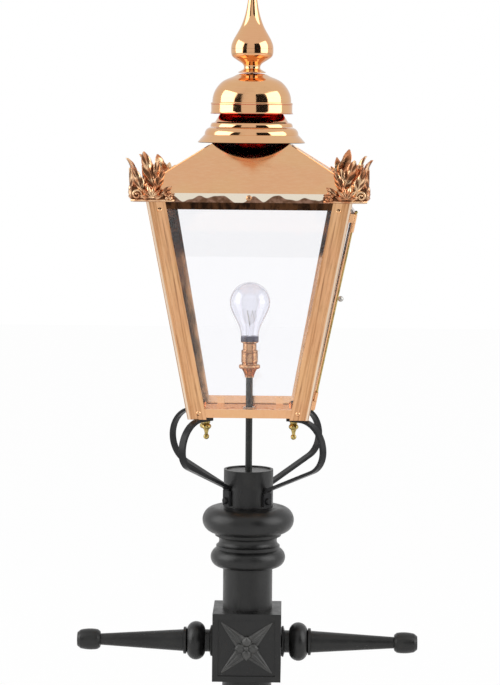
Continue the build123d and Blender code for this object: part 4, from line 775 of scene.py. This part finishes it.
# %% Stem, leads and filament
stem_low, stem_high = (np.array(corner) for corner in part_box("bulb_filament"))
STEM_Z = stem_low[2]
WIRE_TOP = stem_high[2] - 3 * MM
STEM_TOP = STEM_Z + 27 * MM
s = np.linspace(0, 1, 24)
stem_r = (1.7 + 4.8 * np.exp(-6 * s) - 0.9 * s ** 6) * MM
stem_path = np.stack([0 * s, 0 * s, STEM_Z + (STEM_TOP - STEM_Z) * s], axis=-1)
piece_from("bulb_stem", [(sweep_round(stem_path, stem_r, 20), 0.0)], bulb_glass,
           stands_for=["bulb_filament"], body="bulb")
hooks = np.arange(9)
hook_angle = np.radians(-120 + 30 * hooks)
hook_r = 8.5 * MM
hook_z = np.where(hooks % 2 == 0, WIRE_TOP, WIRE_TOP - 15 * MM)
zigzag = np.stack([hook_r * np.cos(hook_angle), hook_r * np.sin(hook_angle), hook_z], axis=-1)
corner = np.linspace(0, len(hooks) - 1, 97)
coil = np.stack([np.interp(corner, hooks, zigzag[:, k]) for k in range(3)], axis=-1)
wires = [(sweep_round(coil, 0.22 * MM, 6), 0.0)]
for end in (0, -1):
    lead = np.linspace((0.4 * MM * (1 if end else -1), 0, STEM_TOP - 3 * MM), coil[end], 8)
    wires.append((sweep_round(lead, 0.32 * MM, 8), 0.0))
for hook in range(1, 8):
    spoke = np.linspace((0, 0, STEM_TOP - 1 * MM), zigzag[hook], 6)
    wires.append((sweep_round(spoke, 0.14 * MM, 6), 0.0))
piece_from("bulb_wires", wires, steel, body="bulb")

# %% Band round the neck
glass_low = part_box("bulb_glass")[0]
band_r = np.array([12.5, 14.0, 14.3, 14.3, 13.9, 12.5])[:, None] * MM
band_z = np.array([0.0, 0.1, 1.0, 7.6, 8.6, 8.8])[:, None] * MM + glass_low[2]
turn = np.arange(48) * TAU / 48
band = np.stack([band_r * np.cos(turn), band_r * np.sin(turn), band_z + 0 * turn], axis=-1)
piece_from("bulb_neck_band", [(band, 0.0)], neck_band_finish, body="bulb")

# %% [markdown]
# ## The leaf star
# The two free faces of the block carry a star of four long leaves in a sunk panel, crossed in
# the middle by a rosette. Each arm is a leaf with a sharp tip: three ribs run along it, one in
# the middle and one near each edge, so its height is a sum of three bells across its width.

# %% Star and rosette
block_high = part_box("ladder_block")[1]
BLOCK_HALF = block_high[1]
BLOCK_MID = block_high[2] - BLOCK_HALF
PANEL_DEPTH = 2.5 * MM
ARM_LENGTH = 58 * MM
ARM_WIDTH = 13 * MM
ARM_HEIGHT = 3.6 * MM


def star_arm(direction):
    """Ribbed arm. Half width: w (1 - s)^0.9 plus a little. Height: three bells across, falling
    as 1 - s^3."""
    rows, columns = 30, 40
    s = np.linspace(0, 1, rows)[:, None]
    angle = np.arange(columns) * TAU / columns
    across = np.cos(angle)
    half = ARM_WIDTH * (1 - s) ** 0.9 + 0.5 * MM
    bells = np.exp(-(across / 0.16) ** 2) + 0.8 * np.exp(-((np.abs(across) - 0.66) / 0.15) ** 2)
    front = np.sin(angle) > 0.01
    height = np.where(front, ARM_HEIGHT * (0.35 + 0.65 * bells) * (1 - s ** 3) + 0.4 * MM, -0.3 * MM)
    side = np.array((-direction[1], direction[0]))
    x = s * ARM_LENGTH * direction[0] + half * across * side[0]
    z = s * ARM_LENGTH * direction[1] + half * across * side[1]
    face = -BLOCK_HALF + PANEL_DEPTH
    return np.stack([x, face - height, BLOCK_MID + z], axis=-1)[:, ::-1], 0.0


def star():
    """Four arms towards the corners of the panel."""
    corners = np.array([(1, 1), (-1, 1), (-1, -1), (1, -1)]) / np.sqrt(2)
    return [star_arm(corner) for corner in corners]


def rosette():
    """Four curled petals and a boss in the middle of the star."""
    face = -BLOCK_HALF + PANEL_DEPTH - 3 * MM
    middle = np.array((0, face, BLOCK_MID))
    petals = [ball(middle + np.array((0, -3 * MM, 0)), 4.2 * MM)]
    for angle in np.arange(4) * TAU / 4:
        reach = 19 * MM * np.array((np.cos(angle), 0, np.sin(angle)))
        petals.append(leaf(middle, middle + reach, (0, -1, 0), 8.5 * MM, bow=3.5 * MM, curl=2 * MM,
                           lobes=2, thick=0.002, rows=22, columns=22))
    return petals


front_star = star() + rosette()
piece_from("leaf_star_front", front_star, star_grey_iron)
piece_from("leaf_star_rear", turned_tubes(front_star, 2), star_grey_iron)

# %% [markdown]
# ## Studio
# Polished copper looks like whatever stands round it. A white surround makes it tan, large
# soft lamps at both sides make the cream highlights, and two dark screens beside the camera
# make the crisp black shapes in the dome. The screens are seen by reflections alone.

# %% Surround
world = bpy.data.worlds.new("surround")
bpy.context.scene.world = world
world.use_nodes = True
SURROUND_LEVEL = 0.78


def light_surround():
    """White for the camera and through glass, a little darker for everything else."""
    tree = world.node_tree
    shine = tree.nodes["Background"]
    shine.inputs["Color"].default_value = (1, 1, 1, 1)
    path = tree.nodes.new("ShaderNodeLightPath")
    either = tree.nodes.new("ShaderNodeMath")
    either.operation = "MAXIMUM"
    tree.links.new(path.outputs["Is Camera Ray"], either.inputs[0])
    tree.links.new(path.outputs["Is Transmission Ray"], either.inputs[1])
    level = tree.nodes.new("ShaderNodeMapRange")
    level.inputs["To Min"].default_value = SURROUND_LEVEL
    level.inputs["To Max"].default_value = 1.0
    tree.links.new(either.outputs[0], level.inputs["Value"])
    tree.links.new(level.outputs["Result"], shine.inputs["Strength"])


light_surround()


# %% Floor, screens and lamps
def plate(name, width, height, place, material, facing=(0, 0, 1)):
    """Flat rectangle centred on a place, square to its facing direction."""
    facing = unit(np.array(facing, float))
    hint = np.array((0, 1, 0)) if abs(facing[2]) > 0.9 else np.array((0, 0, 1))
    right = unit(np.cross(hint, facing))
    up = np.cross(facing, right)
    signs = np.array([(-1, -1), (1, -1), (1, 1), (-1, 1)]) / 2
    corners = np.array(place) + signs[:, :1] * width * right + signs[:, 1:] * height * up
    mesh = bpy.data.meshes.new(name)
    mesh.from_pydata(corners.tolist(), [], [[0, 1, 2, 3]])
    piece = bpy.data.objects.new(name, mesh)
    bpy.context.scene.collection.objects.link(piece)
    mesh.materials.append(material)
    return piece


def floor_paint():
    """Pale paint that shows white to the camera and through glass, with a soft shadow."""
    finish = Finish("floor_paint", Base_Color=(0.8, 0.8, 0.8), Roughness=0.9)
    seen = finish.add("LightPath", output="Is Camera Ray")
    through = finish.add("LightPath", output="Is Transmission Ray")
    white = finish.add("Emission", None, {"Color": (1, 1, 1), "Strength": 1.0})
    paint = Value(finish, finish.shader.outputs[0])
    share = (seen + through) * 0.96
    both = finish.add("MixShader", None, {0: share, 1: paint, 2: white})
    finish.feed(finish.tree.nodes["Material Output"].inputs["Surface"], both)
    return finish.material


def screen_cloth():
    """Black felt."""
    finish = Finish("screen_cloth", Roughness=1.0)
    finish.set(Base_Color=finish.mix(finish.noise(0.3), (0.004, 0.004, 0.005), (0.008, 0.007, 0.007)))
    return finish.material


FLOOR_SIZE = 14
plate("floor", FLOOR_SIZE, FLOOR_SIZE, (0, 0, 0), floor_paint())
felt = screen_cloth()
SCREENS = {"screen_left": (-41, 25), "screen_right": (30, 34)}
SCREEN_DISTANCE = 2.6
SCREEN_TALL = 2.6
SCREEN_MIDDLE = np.array((0, 0, 1.5))
for name, (bearing, spread) in SCREENS.items():
    angle = np.radians(bearing)
    towards = np.array((np.sin(angle), -np.cos(angle), 0))
    width = 2 * SCREEN_DISTANCE * np.tan(np.radians(spread / 2))
    middle = towards * SCREEN_DISTANCE + SCREEN_MIDDLE
    screen = plate(name, width, SCREEN_TALL, middle, felt, -towards)
    screen.visible_camera = False
    screen.visible_diffuse = False
    screen.visible_transmission = False
    screen.visible_shadow = False


LAMP_DISTANCE = 2.3
LAMP_HEIGHT = 1.5
AIM_HEIGHT = 0.75


def soft_lamp(name, bearing, power, width, tall):
    """Area lamp at a bearing from the camera's side, aimed at the lantern."""
    angle = np.radians(bearing)
    place = np.array((LAMP_DISTANCE * np.sin(angle), -LAMP_DISTANCE * np.cos(angle), LAMP_HEIGHT))
    light = bpy.data.lights.new(name, "AREA")
    light.shape = "RECTANGLE"
    light.size = width
    light.size_y = tall
    light.energy = power
    lamp = bpy.data.objects.new(name, light)
    bpy.context.scene.collection.objects.link(lamp)
    lamp.location = place
    aim = Vector((0, 0, AIM_HEIGHT)) - lamp.location
    lamp.rotation_euler = aim.to_track_quat("-Z", "Y").to_euler()


soft_lamp("lamp_left", -76, 34, 2.2, 2.2)
soft_lamp("lamp_right", 72, 28, 2.0, 2.2)

# %% [markdown]
# ## Camera
# The photograph was taken from about four metres with a long lens, level with the dome. The
# frame takes in the post head far below, partly by tipping the camera down a little and partly
# by a small shift of the lens. The shift keeps the uprights nearly upright.

# %% Camera
CAMERA_DISTANCE = 3.9
CAMERA_HEIGHT = 0.977
CAMERA_BEARING = np.radians(1.0)
CAMERA_ROLL = np.radians(0.5)
FOCAL_PIXELS = 2430
CAMERA_TIP = np.radians(3.9)
FRAME_HEIGHT = 685
SENSOR = 36.0
HORIZON_ROW = 109.3
AXIS_PIXELS = 0.3

camera = bpy.data.objects.new("camera", bpy.data.cameras.new("camera"))
bpy.context.scene.collection.objects.link(camera)
camera.data.sensor_width = SENSOR
camera.data.lens = FOCAL_PIXELS / FRAME_HEIGHT * SENSOR
camera.data.shift_x = -AXIS_PIXELS / FRAME_HEIGHT
camera.data.shift_y = (HORIZON_ROW + FOCAL_PIXELS * np.tan(CAMERA_TIP) - FRAME_HEIGHT / 2) / FRAME_HEIGHT
camera.location = (CAMERA_DISTANCE * np.sin(CAMERA_BEARING),
                   -CAMERA_DISTANCE * np.cos(CAMERA_BEARING), CAMERA_HEIGHT)
camera.rotation_mode = "XYZ"
upright = Matrix.Rotation(CAMERA_BEARING, 3, "Z") @ Matrix.Rotation(np.pi / 2 - CAMERA_TIP, 3, "X")
camera.rotation_euler = (upright @ Matrix.Rotation(CAMERA_ROLL, 3, "Z")).to_euler()
bpy.context.scene.camera = camera
bpy.context.scene.view_settings.view_transform = "Standard"
